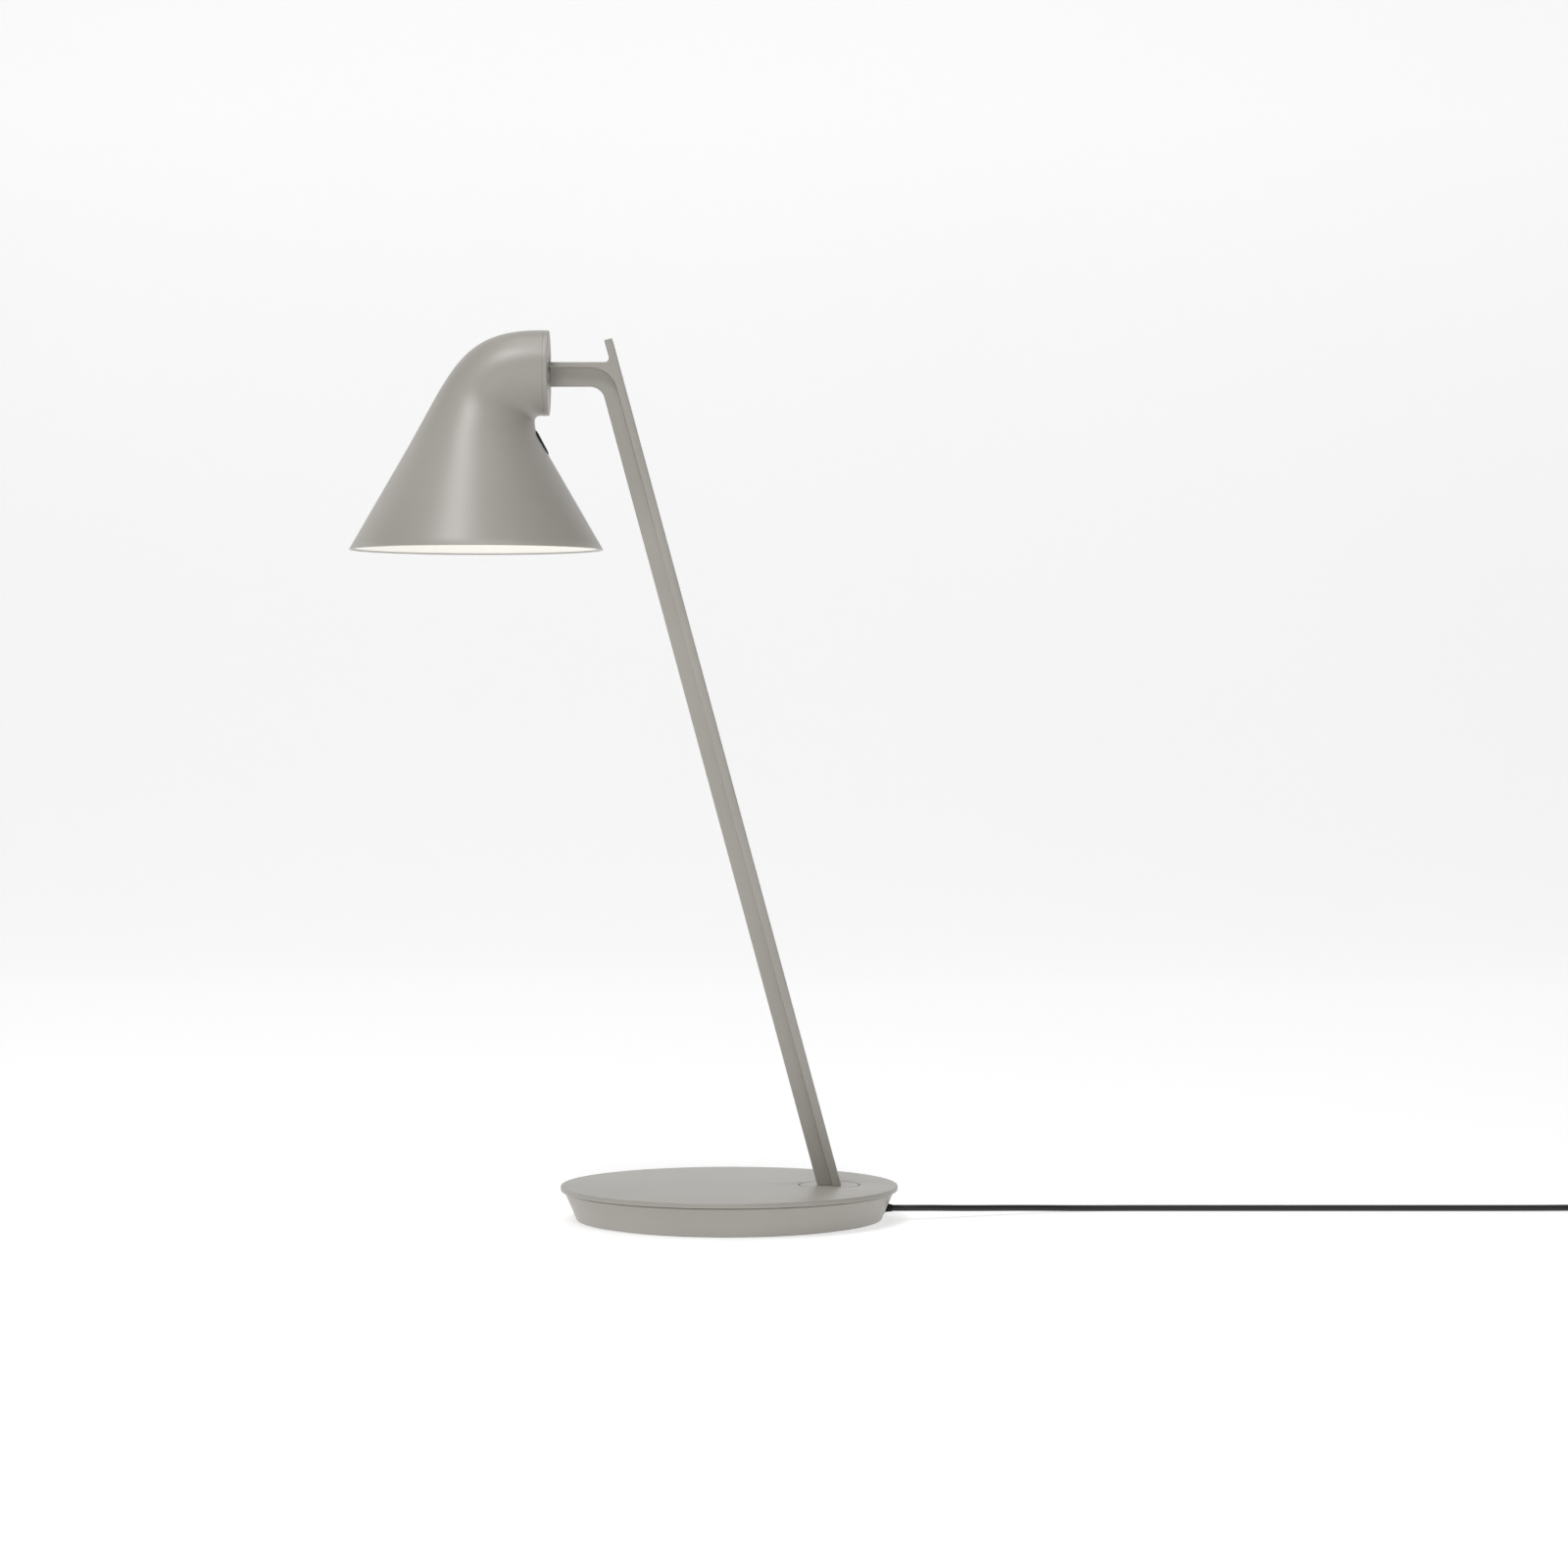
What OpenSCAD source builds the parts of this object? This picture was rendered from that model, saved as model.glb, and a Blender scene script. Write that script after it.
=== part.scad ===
// Desk lamp with a round weighted foot, a leaning T-section stem with a bent
// arm, and a conical shade that turns on the arm. The foot stands on z = 0 with
// its centre at the origin, the head hangs towards -X and the lead leaves at +X.

/* [Foot] */
// Radius of the round top plate
plate_r = 80; // [76:0.5:90]
// Thickness of the top plate
plate_t = 2.2; // [1.6:0.1:3]
// Height of the foot's upper face above the desk
foot_h = 16.6; // [16.2:0.1:18]
// Radius of the tapering shell where it meets the plate
shell_top_r = 78.2; // [77.8:0.1:78.6]
// Radius of the tapering shell at the desk
shell_low_r = 72.4; // [72:0.1:73]
// Radius of the steel ballast
ballast_r = 68; // [60:0.5:69]

/* [Swivel] */
// Distance of the swivel axis behind the foot's centre
swivel_x = 47.5; // [44:0.5:50]
// Radius of the flush swivel disc
disc_r = 14.1; // [13.8:0.1:14.4]
// Turn to each side
swivel_turn = 90; // [60:5:90]

/* [Stem and arm] */
// Lean of the stem from the vertical
lean = 15.11; // [14.8:0.01:15.4]
// Depth of the T section seen from the side, along X
stem_depth = 11.2; // [11:0.1:11.6]
// Depth of the stem's rear flange along X
flange_depth = 4.1; // [4:0.1:4.4]
// Width of the flange
flange_w = 14; // [13:0.5:18]
// Width of the rib
rib_w = 6; // [6:0.5:8]
// Height of the arm's lower face
arm_low = 395.2; // [395:0.1:395.6]
// Height of the arm's upper face
arm_top = 406.3; // [406:0.1:406.6]
// Thickness of the arm's flange
arm_flange = 2.6; // [2.4:0.1:3]
// Height of the stub above the arm
stub_top = 417.6; // [412:0.2:420]

/* [Head] */
// Height of the neck's axis
neck_z = 401.6; // [401.4:0.1:401.8]
// Radius of the neck
neck_r = 20.2; // [20:0.1:20.4]
// Position of the neck's end face
neck_x = -85.3; // [-85.6:0.1:-85.2]
// Position of the shade's axis
shade_x = -119.8; // [-120.2:0.1:-119.6]
// Height of the shade's rim
rim_z = 317.8; // [315:0.2:320]
// Height where the straight sides of the shade would meet
apex_z = 422.1; // [421.8:0.1:422.4]
// Half angle of the shade's cone
cone_angle = 30; // [29.6:0.1:30.2]
// Wall thickness of the shade
shade_wall = 1.3; // [1.2:0.1:1.5]
// Turn of the head to each side
head_turn = 90; // [60:5:90]

/* [Dimmer button] */
// Length of the button
button_l = 13; // [11:0.5:13.5]
// Width of the button
button_w = 8; // [7:0.5:9]
// Angle of the button's axis above the horizontal
button_tilt = 28; // [27:0.5:30]
// Gap round the button
button_gap = 0.3; // [0.25:0.05:0.4]

/* [Lead and driver] */
// Diameter of the lead
cord_d = 3; // [2.8:0.1:3.2]
// Diameter of the inner leads
wire_d = 1.6; // [1.2:0.1:1.8]
// Centre height of the lead where it leaves the foot
exit_z = 5.5; // [5.2:0.1:6]
// Length of the driver's housing
driver_l = 62; // [55:1:66]
// Width of the driver's housing
driver_w = 30; // [28:1:34]
// Height of the driver's housing
driver_h = 26; // [25:1:30]
// Radius of a plug pin
pin_r = 2; // [2:0.05:2.4]
// Length of a plug pin outside the housing
pin_l = 19; // [18:0.5:19]
// Distance between the plug pins
pin_gap = 19; // [18:0.5:19]

/* [Hidden] */

paint = [0.66, 0.645, 0.615];
steel = [0.62, 0.63, 0.65];
black = [0.06, 0.06, 0.065];
white = [0.95, 0.95, 0.93];

round_fn = 96;
small_fn = 32;
eps = 0.02;

// Levels inside the foot
plate_low = foot_h - plate_t;
shell_low = 0.6;
pad_t = 1.2;
cover_t = 1.2;
ballast_low = pad_t + cover_t;
boss_ring = 45;
boss_r = 4;
boss_low = 8.4;
screw_r = 2;

clamp_x = 63.4;

// Swivel stack, from the disc downwards
pocket_z = plate_low - 2;
bush_flange_t = 1;
bush_r = 9;
bush_flange_r = 9.8;
shaft_r = 6;
shaft_bore = 2.6;
shaft_low = 4.4;
nut_pocket_top = 7.4;
nut_pocket_r = 12.5;
run_gap = 0.05;
stop_ring = 11.5;
stop_r = 1;

// Lines of the stem, as functions of the height
slope = tan(lean);
foot_rear_x = swivel_x - 0.1 + stem_depth / 2;
function rear_x(z) = foot_rear_x - (z - foot_h) * slope;
function divide_x(z) = rear_x(z) - flange_depth;
function front_x(z) = rear_x(z) - stem_depth;
arm_end = neck_x + 0.4;
stub_depth = 3.9;
groove_w = 6;
groove_depth = 2.9;
cover_depth = 1;
groove_top = 403.6;

// Bearing of the head on the arm
spigot_r = 5;
spigot_bore = 1.4;
spigot_end = -104;
shank_r = 2.2;
shank_end = arm_end + 12;
bush_out = 8;
cap_t = 2.2;

// Shade outline: the front edge is a cubic curve above bend_z, the rear edge a
// small inside corner, a concave arc and then the cone's straight side
corner_r = 2.5;
corner_x = -89.6;
corner_z = neck_z - neck_r - corner_r;
waist_r = 18;
bend_z = 361;
front_pull = 47;
top_pull = 38.5;
shade_top = neck_z + neck_r;
slant = tan(cone_angle);
shade_sides = 40;
function cone_r(z) = (apex_z - z) * slant;
function front_points() = [
    [shade_x - cone_r(bend_z), bend_z],
    [shade_x - cone_r(bend_z) + front_pull * sin(cone_angle), bend_z + front_pull * cos(cone_angle)],
    [corner_x - top_pull, shade_top],
    [corner_x, shade_top]
];
function cubic(p, t) =
    pow(1 - t, 3) * p[0] + 3 * pow(1 - t, 2) * t * p[1] + 3 * (1 - t) * t * t * p[2] + t * t * t * p[3];
function front_t(z, lo = 0, hi = 1, steps = 20) =
    steps == 0 ? (lo + hi) / 2
    : cubic(front_points(), (lo + hi) / 2)[1] < z ? front_t(z, (lo + hi) / 2, hi, steps - 1)
    : front_t(z, lo, (lo + hi) / 2, steps - 1);
function rear_edge(z) =
    z > corner_z - waist_r * sin(cone_angle)
    ? corner_x - corner_r + waist_r - sqrt(pow(waist_r, 2) - pow(corner_z - z, 2))
    : shade_x + cone_r(z);
function front_edge(z) = z > bend_z ? cubic(front_points(), front_t(z))[0] : shade_x - cone_r(z);

// Half width of a section whose centre is at height z; soft rounds the change
// from the neck's width to the cone's
function half_width(z, soft) =
    let (more = cone_r(z) - neck_r) neck_r + (more + sqrt(more * more + soft * soft)) / 2;

// A section is [inner point, outer point, half width, wall]
function fan_section(t) =
    let (out = cubic(front_points(), t),
         pivot = [corner_x, corner_z],
         way = (out - pivot) / norm(out - pivot),
         in = pivot + corner_r * way,
         soft = 3 * pow(way[0], 2))
    [in, out, half_width((in[1] + out[1]) / 2, soft), shade_wall];
function level_section(z) =
    let (bent = max(0, (z - bend_z) / (corner_z - bend_z)))
    [[rear_edge(z), z], [front_edge(z), z], z > bend_z ? half_width(z, 3 * bent) : cone_r(z),
     shade_wall * (bent + (1 - bent) / cos(cone_angle))];
bend_t = front_t(corner_z);
fan_steps = 10;
shade_sections = concat(
    [[[neck_x - cap_t, neck_z - neck_r], [neck_x - cap_t, shade_top], neck_r, shade_wall]],
    [for (i = [0:fan_steps]) fan_section(1 - (1 - bend_t) * i / fan_steps)],
    [for (z = [376, 373, 370, 366, 361, 340, rim_z]) level_section(z)]
);

// Button frame: depth runs inwards along the button's axis
button_face = [-88.2, 0, 369];
flange_from = 3.1;
flange_to = 3.9;

// Light module levels
ledge_z = 357;
ring_z = 359;
plate_z = 363;
liner_gap = 0.35;
liner_wall = 0.9;
boss_out = 25.5;

// Lead outside: straight out, down to the desk, then along it to the coil
cord_r = cord_d / 2;
wire_r = wire_d / 2;
exit_x = 77.5;
cord_route = [
    [exit_x, 0, exit_z], [84, 0, 5.5], [90, 1, 5.4], [98, 3.5, 5.1], [108, 8, 4.5], [120, 14, 3.8],
    [133, 20.5, 3.1], [147, 26.5, 2.4], [161, 31, 1.8], [176, 33.5, 1.5], [200, 34, 1.5],
    [240, 34, 1.5], [285, 34, 1.5], [330, 34, 1.5], [370, 34, 1.5], [400, 34, 1.6],
    [418, 34, 1.9], [430.5, 34, 2.1]
];
coil_x = 442;
coil_y = 12.5;
coil_mean_r = 16.75;
coil_pitch = 3.15;
coil_half = (3 * coil_pitch + cord_d) / 2;
coil_low = 0.6;
tail_route = [
    [463.5, 1, 11.5], [463.5, -4, 11.7], [463.5, -8, 12.3], [463.5, -11, 12.8], [463.5, -13, 13],
    [463.5, -14, 13]
];
driver_x = 463.5;
relief_y = -14;
relief_l = 18;
driver_y = relief_y - relief_l;

// ---- shared shapes ----

function unit(v) = v / norm(v);

// Round tube along a list of points; side is a direction the route never takes
module tube_along(points, r, side, sides = 8) {
    last = len(points) - 1;
    rings = [for (i = [0:last])
        let (way = unit(points[min(last, i + 1)] - points[max(0, i - 1)]),
             u = unit(cross(side, way)),
             v = cross(way, u))
        for (k = [0:sides - 1]) points[i] + r * (cos(360 * k / sides) * u + sin(360 * k / sides) * v)];
    walls = [for (i = [0:last - 1], k = [0:sides - 1])
        let (a = i * sides + k, b = i * sides + (k + 1) % sides)
        each [[a, a + sides, b], [b, a + sides, b + sides]]];
    caps = [[for (k = [0:sides - 1]) k], [for (k = [0:sides - 1]) last * sides + sides - 1 - k]];
    polyhedron(rings, concat(walls, caps));
}

// Smooth route through the points: each span is cut into steps of even length
function eased(p, steps) = [
    for (i = [0:len(p) - 2])
        let (a = p[max(0, i - 1)], b = p[i], c = p[i + 1], d = p[min(len(p) - 1, i + 2)],
             n = max(1, round(norm(c - b) / steps)))
        for (k = [0:n - 1])
            let (t = k / n)
            0.5 * (2 * b + (c - a) * t + (2 * a - 5 * b + 4 * c - d) * t * t
                + (3 * b - a - 3 * c + d) * t * t * t),
    p[len(p) - 1]
];

module ring(outer, inner, from, to) {
    translate([0, 0, from])
        difference() {
            cylinder(r = outer, h = to - from, $fn = round_fn);
            translate([0, 0, -eps]) cylinder(r = inner, h = to - from + 2 * eps, $fn = round_fn);
        }
}

module hex_nut(across, bore, from, to) {
    translate([0, 0, from])
        difference() {
            cylinder(r = across, h = to - from, $fn = 6);
            translate([0, 0, -eps]) cylinder(r = bore, h = to - from + 2 * eps, $fn = round_fn);
        }
}

// Turns a shape built along +Z so that it runs along -X from the origin
module along_arm() {
    translate([0, 0, neck_z]) rotate([0, -90, 0]) children();
}

// Plate with an outline given in X and Z, spread evenly over y = 0
module side_plate(outline, width) {
    rotate([90, 0, 0]) linear_extrude(height = width, center = true) polygon(outline);
}

function arc(centre, r, from, to, steps) =
    [for (i = [0:steps]) centre + r * [cos(from + (to - from) * i / steps), sin(from + (to - from) * i / steps)]];

module slot_prism(length, width, from, to) {
    translate([0, 0, from])
        linear_extrude(height = to - from) {
            square([length - width, width], center = true);
            for (side = [-1, 1])
                translate([side * (length - width) / 2, 0]) circle(r = width / 2, $fn = small_fn);
        }
}

// Button frame: +Z runs into the head, +X runs up along the shade
module in_button_frame() {
    translate(button_face) rotate([0, -90 - button_tilt, 0]) children();
}

module rounded_box(size, r) {
    for (x = [-1, 1], y = [-1, 1])
        translate([x * (size[0] / 2 - r), y * (size[1] / 2 - r), 0])
            cylinder(r = r, h = size[2], $fn = small_fn);
    translate([-size[0] / 2 + r, -size[1] / 2, 0]) cube([size[0] - 2 * r, size[1], size[2]]);
    translate([-size[0] / 2, -size[1] / 2 + r, 0]) cube([size[0], size[1] - 2 * r, size[2]]);
}

module at_bosses() {
    for (a = [45:90:315]) rotate(a) translate([boss_ring, 0, 0]) children();
}

// ---- foot ----

// Tapering shell; a narrow step under the plate leaves a shadow line
module base_shell() {
    color(paint)
    difference() {
        rotate_extrude($fn = 2 * round_fn)
            polygon([
                [70.6, shell_low], [shell_low_r, shell_low], [shell_top_r, plate_low - 0.4],
                [76.6, plate_low - 0.4], [76.6, plate_low], [68.4, plate_low], [68.4, plate_low - 1.4],
                [74.4, plate_low - 1.8], [70.6, 2.9]
            ]);
        translate([66, 0, exit_z]) rotate([0, 90, 0]) cylinder(r = 3, h = 14, $fn = small_fn);
    }
}

module top_plate() {
    color(paint)
    difference() {
        union() {
            rotate_extrude($fn = 2 * round_fn)
                polygon([
                    [0, plate_low], [plate_r - 0.3, plate_low], [plate_r, plate_low + 0.3],
                    [plate_r, foot_h - 0.5], [plate_r - 0.15, foot_h - 0.15], [plate_r - 0.5, foot_h],
                    [0, foot_h]
                ]);
            at_bosses() translate([0, 0, boss_low])
                cylinder(r = boss_r, h = plate_low - boss_low + 0.5, $fn = small_fn);
        }
        translate([swivel_x, 0, plate_low - 1])
            cylinder(r = disc_r + 0.3, h = plate_t + 2, $fn = round_fn);
        at_bosses() translate([0, 0, boss_low - 1]) cylinder(r = screw_r, h = 6, $fn = small_fn);
    }
}

// Steel disc with pockets for the swivel, the bosses, the clamp and the leads
module ballast() {
    stop_angle = swivel_turn + asin(stop_r / stop_ring) + 1.5;
    color(steel)
    difference() {
        translate([0, 0, ballast_low])
            cylinder(r = ballast_r, h = plate_low - ballast_low, $fn = 2 * round_fn);
        translate([swivel_x, 0, 0]) {
            translate([0, 0, pocket_z]) cylinder(r = disc_r + 0.5, h = 4, $fn = round_fn);
            cylinder(r = bush_r, h = plate_low, $fn = round_fn);
            cylinder(r = nut_pocket_r, h = nut_pocket_top, $fn = round_fn);
            rotate(-stop_angle)
                rotate_extrude(angle = 2 * stop_angle, $fn = round_fn)
                    translate([stop_ring - 1.3, pocket_z - 1.6]) square([2.6, 2]);
        }
        at_bosses() {
            translate([0, 0, boss_low - 0.2]) cylinder(r = boss_r + 0.2, h = 12, $fn = small_fn);
            cylinder(r = screw_r + 0.2, h = 12, $fn = small_fn);
        }
        translate([56, -9, 0]) cube([20, 18, 9.4]);
        translate([70.5, 0, exit_z]) rotate([0, -90, 0]) cylinder(r = 4.6, h = 6, $fn = small_fn);
    }
}

module bottom_plate() {
    color(steel)
    difference() {
        translate([0, 0, pad_t]) cylinder(r = 70.2, h = cover_t, $fn = 2 * round_fn);
        at_bosses() cylinder(r = screw_r + 0.2, h = 8, $fn = small_fn);
    }
}

module foot_pad() {
    color(black)
    difference() {
        cylinder(r = 69, h = pad_t, $fn = 2 * round_fn);
        at_bosses() translate([0, 0, -1]) cylinder(r = 4.2, h = 4, $fn = small_fn);
    }
}

module plate_screws() {
    color(steel)
    at_bosses() {
        difference() {
            translate([0, 0, 0.3]) cylinder(r = 3.6, h = pad_t - 0.3, $fn = small_fn);
            cylinder(r = 1.3, h = 0.9, $fn = 6);
        }
        translate([0, 0, pad_t]) cylinder(r = screw_r - 0.05, h = 11, $fn = small_fn);
    }
}

module swivel_bush() {
    color(white)
    translate([swivel_x, 0, 0]) {
        ring(bush_r - 0.02, shaft_r + run_gap, nut_pocket_top, pocket_z);
        ring(bush_flange_r, shaft_r + run_gap, pocket_z, pocket_z + bush_flange_t);
    }
}

module friction_washer() {
    color(steel)
    translate([swivel_x, 0, 0])
        ring(bush_flange_r, shaft_r + 0.4, pocket_z + bush_flange_t, plate_low - run_gap);
}

// Sleeve moulded on the lead: inner collar, neck in the shell, short tapered nose
module cord_grommet() {
    color(black)
    difference() {
        translate([0, 0, exit_z]) rotate([0, 90, 0])
            rotate_extrude($fn = small_fn)
                polygon([
                    [0, 66.6], [4.4, 66.6], [4.4, 68.2], [2.9, 68.2], [2.9, 75], [2.5, 75.8],
                    [cord_r + 0.3, exit_x], [0, exit_x]
                ]);
        translate([66, -5, -2]) cube([3, 10, 4.42]);
    }
}

// Saddle over the sheathed lead, screwed up into the ballast
module cord_clamp() {
    color(black)
    difference() {
        translate([clamp_x - 2.7, -8.4, 3.4]) cube([5.4, 16.8, 5.9]);
        translate([50, 0, exit_z]) rotate([0, 90, 0]) cylinder(r = cord_r + 0.02, h = 20, $fn = small_fn);
        for (y = [-5.6, 5.6])
            translate([clamp_x, y, 0]) cylinder(r = 1.3, h = 12, $fn = small_fn);
    }
}

module clamp_screws() {
    color(steel)
    for (y = [-5.6, 5.6])
        translate([clamp_x, y, 0]) {
            translate([0, 0, 2.6]) cylinder(r = 2.2, h = 0.8, $fn = small_fn);
            translate([0, 0, 3.4]) cylinder(r = 1.2, h = 5.9, $fn = small_fn);
        }
}

// Sheathed end from the grommet to the clamp, then the thin lead to the swivel
module base_lead() {
    color(black) {
        translate([60, 0, exit_z]) rotate([0, 90, 0]) cylinder(r = cord_r, h = 6.6, $fn = small_fn);
        tube_along([
            [60.1, 0, exit_z], [59.2, 0, 5.2], [58.2, 0, 4.2], [57.2, 0, 3.5], [56, 0, 3.3], [50, 0, 3.3],
            [48.4, 0, 3.5], [47.7, 0, 4.1], [swivel_x, 0, 4.8], [swivel_x, 0, 5.2]
        ], wire_r, [0, 1, 0]);
    }
}

// ---- lead and driver ----

module cord() {
    color(black) tube_along(eased(cord_route, 7.5), cord_r, [0, 0, 1]);
}

module cord_coil() {
    cut = 1.5;
    color(black)
    translate([coil_x, coil_y, coil_low])
        rotate_extrude($fn = 48)
            translate([coil_mean_r, coil_half])
                polygon([
                    [-coil_half + cut, -coil_half], [coil_half - cut, -coil_half],
                    [coil_half, -coil_half + cut], [coil_half, coil_half - cut],
                    [coil_half - cut, coil_half], [-coil_half + cut, coil_half],
                    [-coil_half, coil_half - cut], [-coil_half, -coil_half + cut]
                ]);
}

// Strap round the coil's bundle on the side nearest the lamp
module cord_tie() {
    band = 0.5;
    inside = 2 * coil_half + 0.9;
    color([0.12, 0.12, 0.13])
    translate([coil_x - coil_mean_r, coil_y, 0])
        difference() {
            translate([-inside / 2 - band, -2.5, 0]) cube([inside + 2 * band, 5, inside + band]);
            translate([-inside / 2, -3, band]) cube([inside, 6, inside - band]);
        }
}

module cord_tail() {
    color(black) tube_along(eased(tail_route, 4), cord_r, [0, 0, 1]);
}

module adapter_relief() {
    color(black)
    translate([driver_x, relief_y, driver_h / 2]) rotate([90, 0, 0])
        rotate_extrude($fn = small_fn)
            polygon([[0, 0], [cord_r + 0.4, 0], [3.4, relief_l - 3], [3.4, relief_l + 2], [0, relief_l + 2]]);
}

module adapter_housing() {
    wall = 2;
    color(black)
    translate([driver_x, driver_y - driver_l / 2, 0])
        difference() {
            rounded_box([driver_w, driver_l, driver_h - 1.8], 4);
            translate([0, 0, wall]) rounded_box([driver_w - 2 * wall, driver_l - 2 * wall, driver_h], 2.2);
            translate([0, driver_l / 2 + 1, driver_h / 2]) rotate([90, 0, 0])
                cylinder(r = 3.4, h = 4, $fn = small_fn);
            for (x = [-1, 1])
                translate([x * pin_gap / 2, -driver_l / 2 + 3, driver_h / 2]) rotate([90, 0, 0])
                    cylinder(r = pin_r - 0.48, h = 6, $fn = small_fn);
        }
}

module adapter_lid() {
    color(black)
    translate([driver_x, driver_y - driver_l / 2, driver_h - 1.8]) rounded_box([driver_w, driver_l, 1.8], 4);
}

module adapter_board() {
    color([0.12, 0.3, 0.18])
    translate([driver_x, driver_y - driver_l / 2, 0]) {
        translate([-12, -27, 4]) cube([24, 48, 1.4]);
        translate([-8, -16, 5.4]) cube([16, 18, 14]);
        translate([-9, 11, 5.4]) cube([7, 7, 9]);
    }
}

module plug_pins() {
    color(steel)
    for (x = [-1, 1])
        translate([driver_x + x * pin_gap / 2, driver_y - driver_l, driver_h / 2]) rotate([90, 0, 0]) {
            cylinder(r = pin_r, h = pin_l, $fn = small_fn);
            translate([0, 0, -4]) cylinder(r = pin_r - 0.5, h = 5, $fn = small_fn);
        }
}

// ---- stem and arm ----

// Flush disc with a hollow shaft; the lead slants out of the shaft to the stem
module swivel_disc() {
    color(paint)
    translate([swivel_x, 0, 0])
        difference() {
            union() {
                translate([0, 0, plate_low]) cylinder(r = disc_r, h = plate_t, $fn = round_fn);
                translate([0, 0, shaft_low]) cylinder(r = shaft_r, h = plate_low - shaft_low + 1, $fn = round_fn);
            }
            translate([0, 0, shaft_low - 1]) cylinder(r = shaft_bore, h = 9, $fn = small_fn);
            translate([-0.4, 0, 9]) rotate([0, 27, 0]) cylinder(r = 1.3, h = 12, $fn = small_fn);
            translate([stop_ring, 0, plate_low - 1]) cylinder(r = stop_r, h = 2, $fn = small_fn);
        }
}

module swivel_washer() {
    color(steel)
    translate([swivel_x, 0, 0]) ring(11, shaft_r + 0.02, 7, nut_pocket_top - run_gap);
}

module swivel_nut() {
    color(steel)
    translate([swivel_x, 0, 0]) hex_nut(9.2, shaft_r + 0.02, shaft_low + 0.2, 7);
}

module swivel_stop() {
    color(steel)
    translate([swivel_x + stop_ring, 0, 11.4]) cylinder(r = stop_r, h = plate_low + 1 - 11.4, $fn = small_fn);
}

// Corner rounds of the casting; each is tangent to a level face and a leaning one
function corner_arc(x, z, r, up, steps) =
    let (turn = up < 0 ? 90 - lean : 90 + lean, run = r * tan(turn / 2))
    up < 0 ? arc([x - run, z - r], r, 90, lean, steps)
    : arc([x - run, z + r], r, -90, turn - 90, steps);

// T section with the bent arm: a wide flange behind, a narrow rib in front
module stem_arm() {
    arm_mid = arm_top - arm_flange;
    stub_foot_x = rear_x(arm_top) - stub_depth;
    tip = rear_x(stub_top);
    outside = concat(
        [[foot_rear_x, foot_h], [tip, stub_top], [tip - stub_depth * pow(cos(lean), 2),
            stub_top - stub_depth * sin(lean) * cos(lean)]],
        [for (i = [7:-1:0]) corner_arc(stub_foot_x, arm_top, 2, 1, 7)[i]],
        [[arm_end, arm_top]]
    );
    flange = concat(
        outside,
        [[arm_end, arm_mid]],
        corner_arc(divide_x(arm_mid), arm_mid, 13.5, -1, 12),
        [[divide_x(foot_h), foot_h]]
    );
    whole = concat(
        outside,
        [[arm_end, arm_low]],
        corner_arc(front_x(arm_low), arm_low, 7.2, -1, 10),
        [[front_x(foot_h), foot_h]]
    );
    color(paint)
    difference() {
        union() {
            side_plate(flange, flange_w);
            side_plate(whole, rib_w);
        }
        side_plate([
            [rear_x(foot_h - 1) - groove_depth, foot_h - 1], [rear_x(foot_h - 1) + 1, foot_h - 1],
            [rear_x(groove_top) + 1, groove_top], [rear_x(groove_top) - groove_depth, groove_top]
        ], groove_w);
        translate([-50, 0, 0]) along_arm() cylinder(r = 1.9, h = 24, $fn = small_fn);
        translate([-70, 0, 0]) along_arm() cylinder(r = shank_r, h = 20, $fn = small_fn);
    }
}

module stem_cover() {
    low = foot_h + 0.4;
    high = groove_top - 0.1;
    color(paint)
    side_plate([
        [rear_x(low) - cover_depth, low], [rear_x(low), low],
        [rear_x(high), high], [rear_x(high) - cover_depth, high]
    ], groove_w - 0.1);
}

module stem_lead() {
    depth = 1.97;
    color(black)
    tube_along([
        [swivel_x, 0, 5.2], [swivel_x, 0, 8.6], [47.8, 0, 10.2], [48.6, 0, 12], [49.9, 0, 14.6],
        [50.95, 0, 16.4], [rear_x(18.4) - depth, 0, 18.4], [rear_x(21) - depth, 0, 21],
        [rear_x(397.5) - depth, 0, 397.5], [rear_x(399.6) - depth, 0, 399.6], [-53.2, 0, 401],
        [-54.9, 0, 401.55], [-57.5, 0, neck_z], [-80, 0, neck_z], [-101, 0, neck_z]
    ], wire_r, [0, 1, 0]);
}

// Hollow steel journal: its shank is pressed into the arm
module arm_spigot() {
    color(steel)
    along_arm()
        difference() {
            union() {
                translate([0, 0, -arm_end]) cylinder(r = spigot_r, h = arm_end - spigot_end, $fn = round_fn);
                translate([0, 0, -shank_end])
                    cylinder(r = shank_r - 0.01, h = shank_end - arm_end + 1, $fn = small_fn);
            }
            translate([0, 0, -shank_end - 1])
                cylinder(r = spigot_bore, h = shank_end - spigot_end + 2, $fn = small_fn);
        }
}

// Washer with an ear that meets the stop in the neck at each end of the turn
module stop_washer() {
    color(steel)
    along_arm() {
        ring(8.6, spigot_r + 0.02, 99.3, 100.4);
        translate([7.6, -2.2, 99.3]) cube([5.6, 4.4, 1.1]);
    }
}

module spigot_nut() {
    color(steel)
    along_arm() hex_nut(8.4, spigot_r + 0.02, 100.4, 103.4);
}

// ---- head ----

function ellipse_ring(section, inset) =
    let (way = unit(section[1] - section[0]),
         mid = (section[0] + section[1]) / 2,
         a = norm(section[1] - section[0]) / 2 - inset * section[3],
         b = section[2] - inset * section[3])
    [for (k = [0:shade_sides - 1])
        let (c = 360 * k / shade_sides, p = mid + a * cos(c) * way)
        [p[0], b * sin(c), p[1]]];

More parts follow.
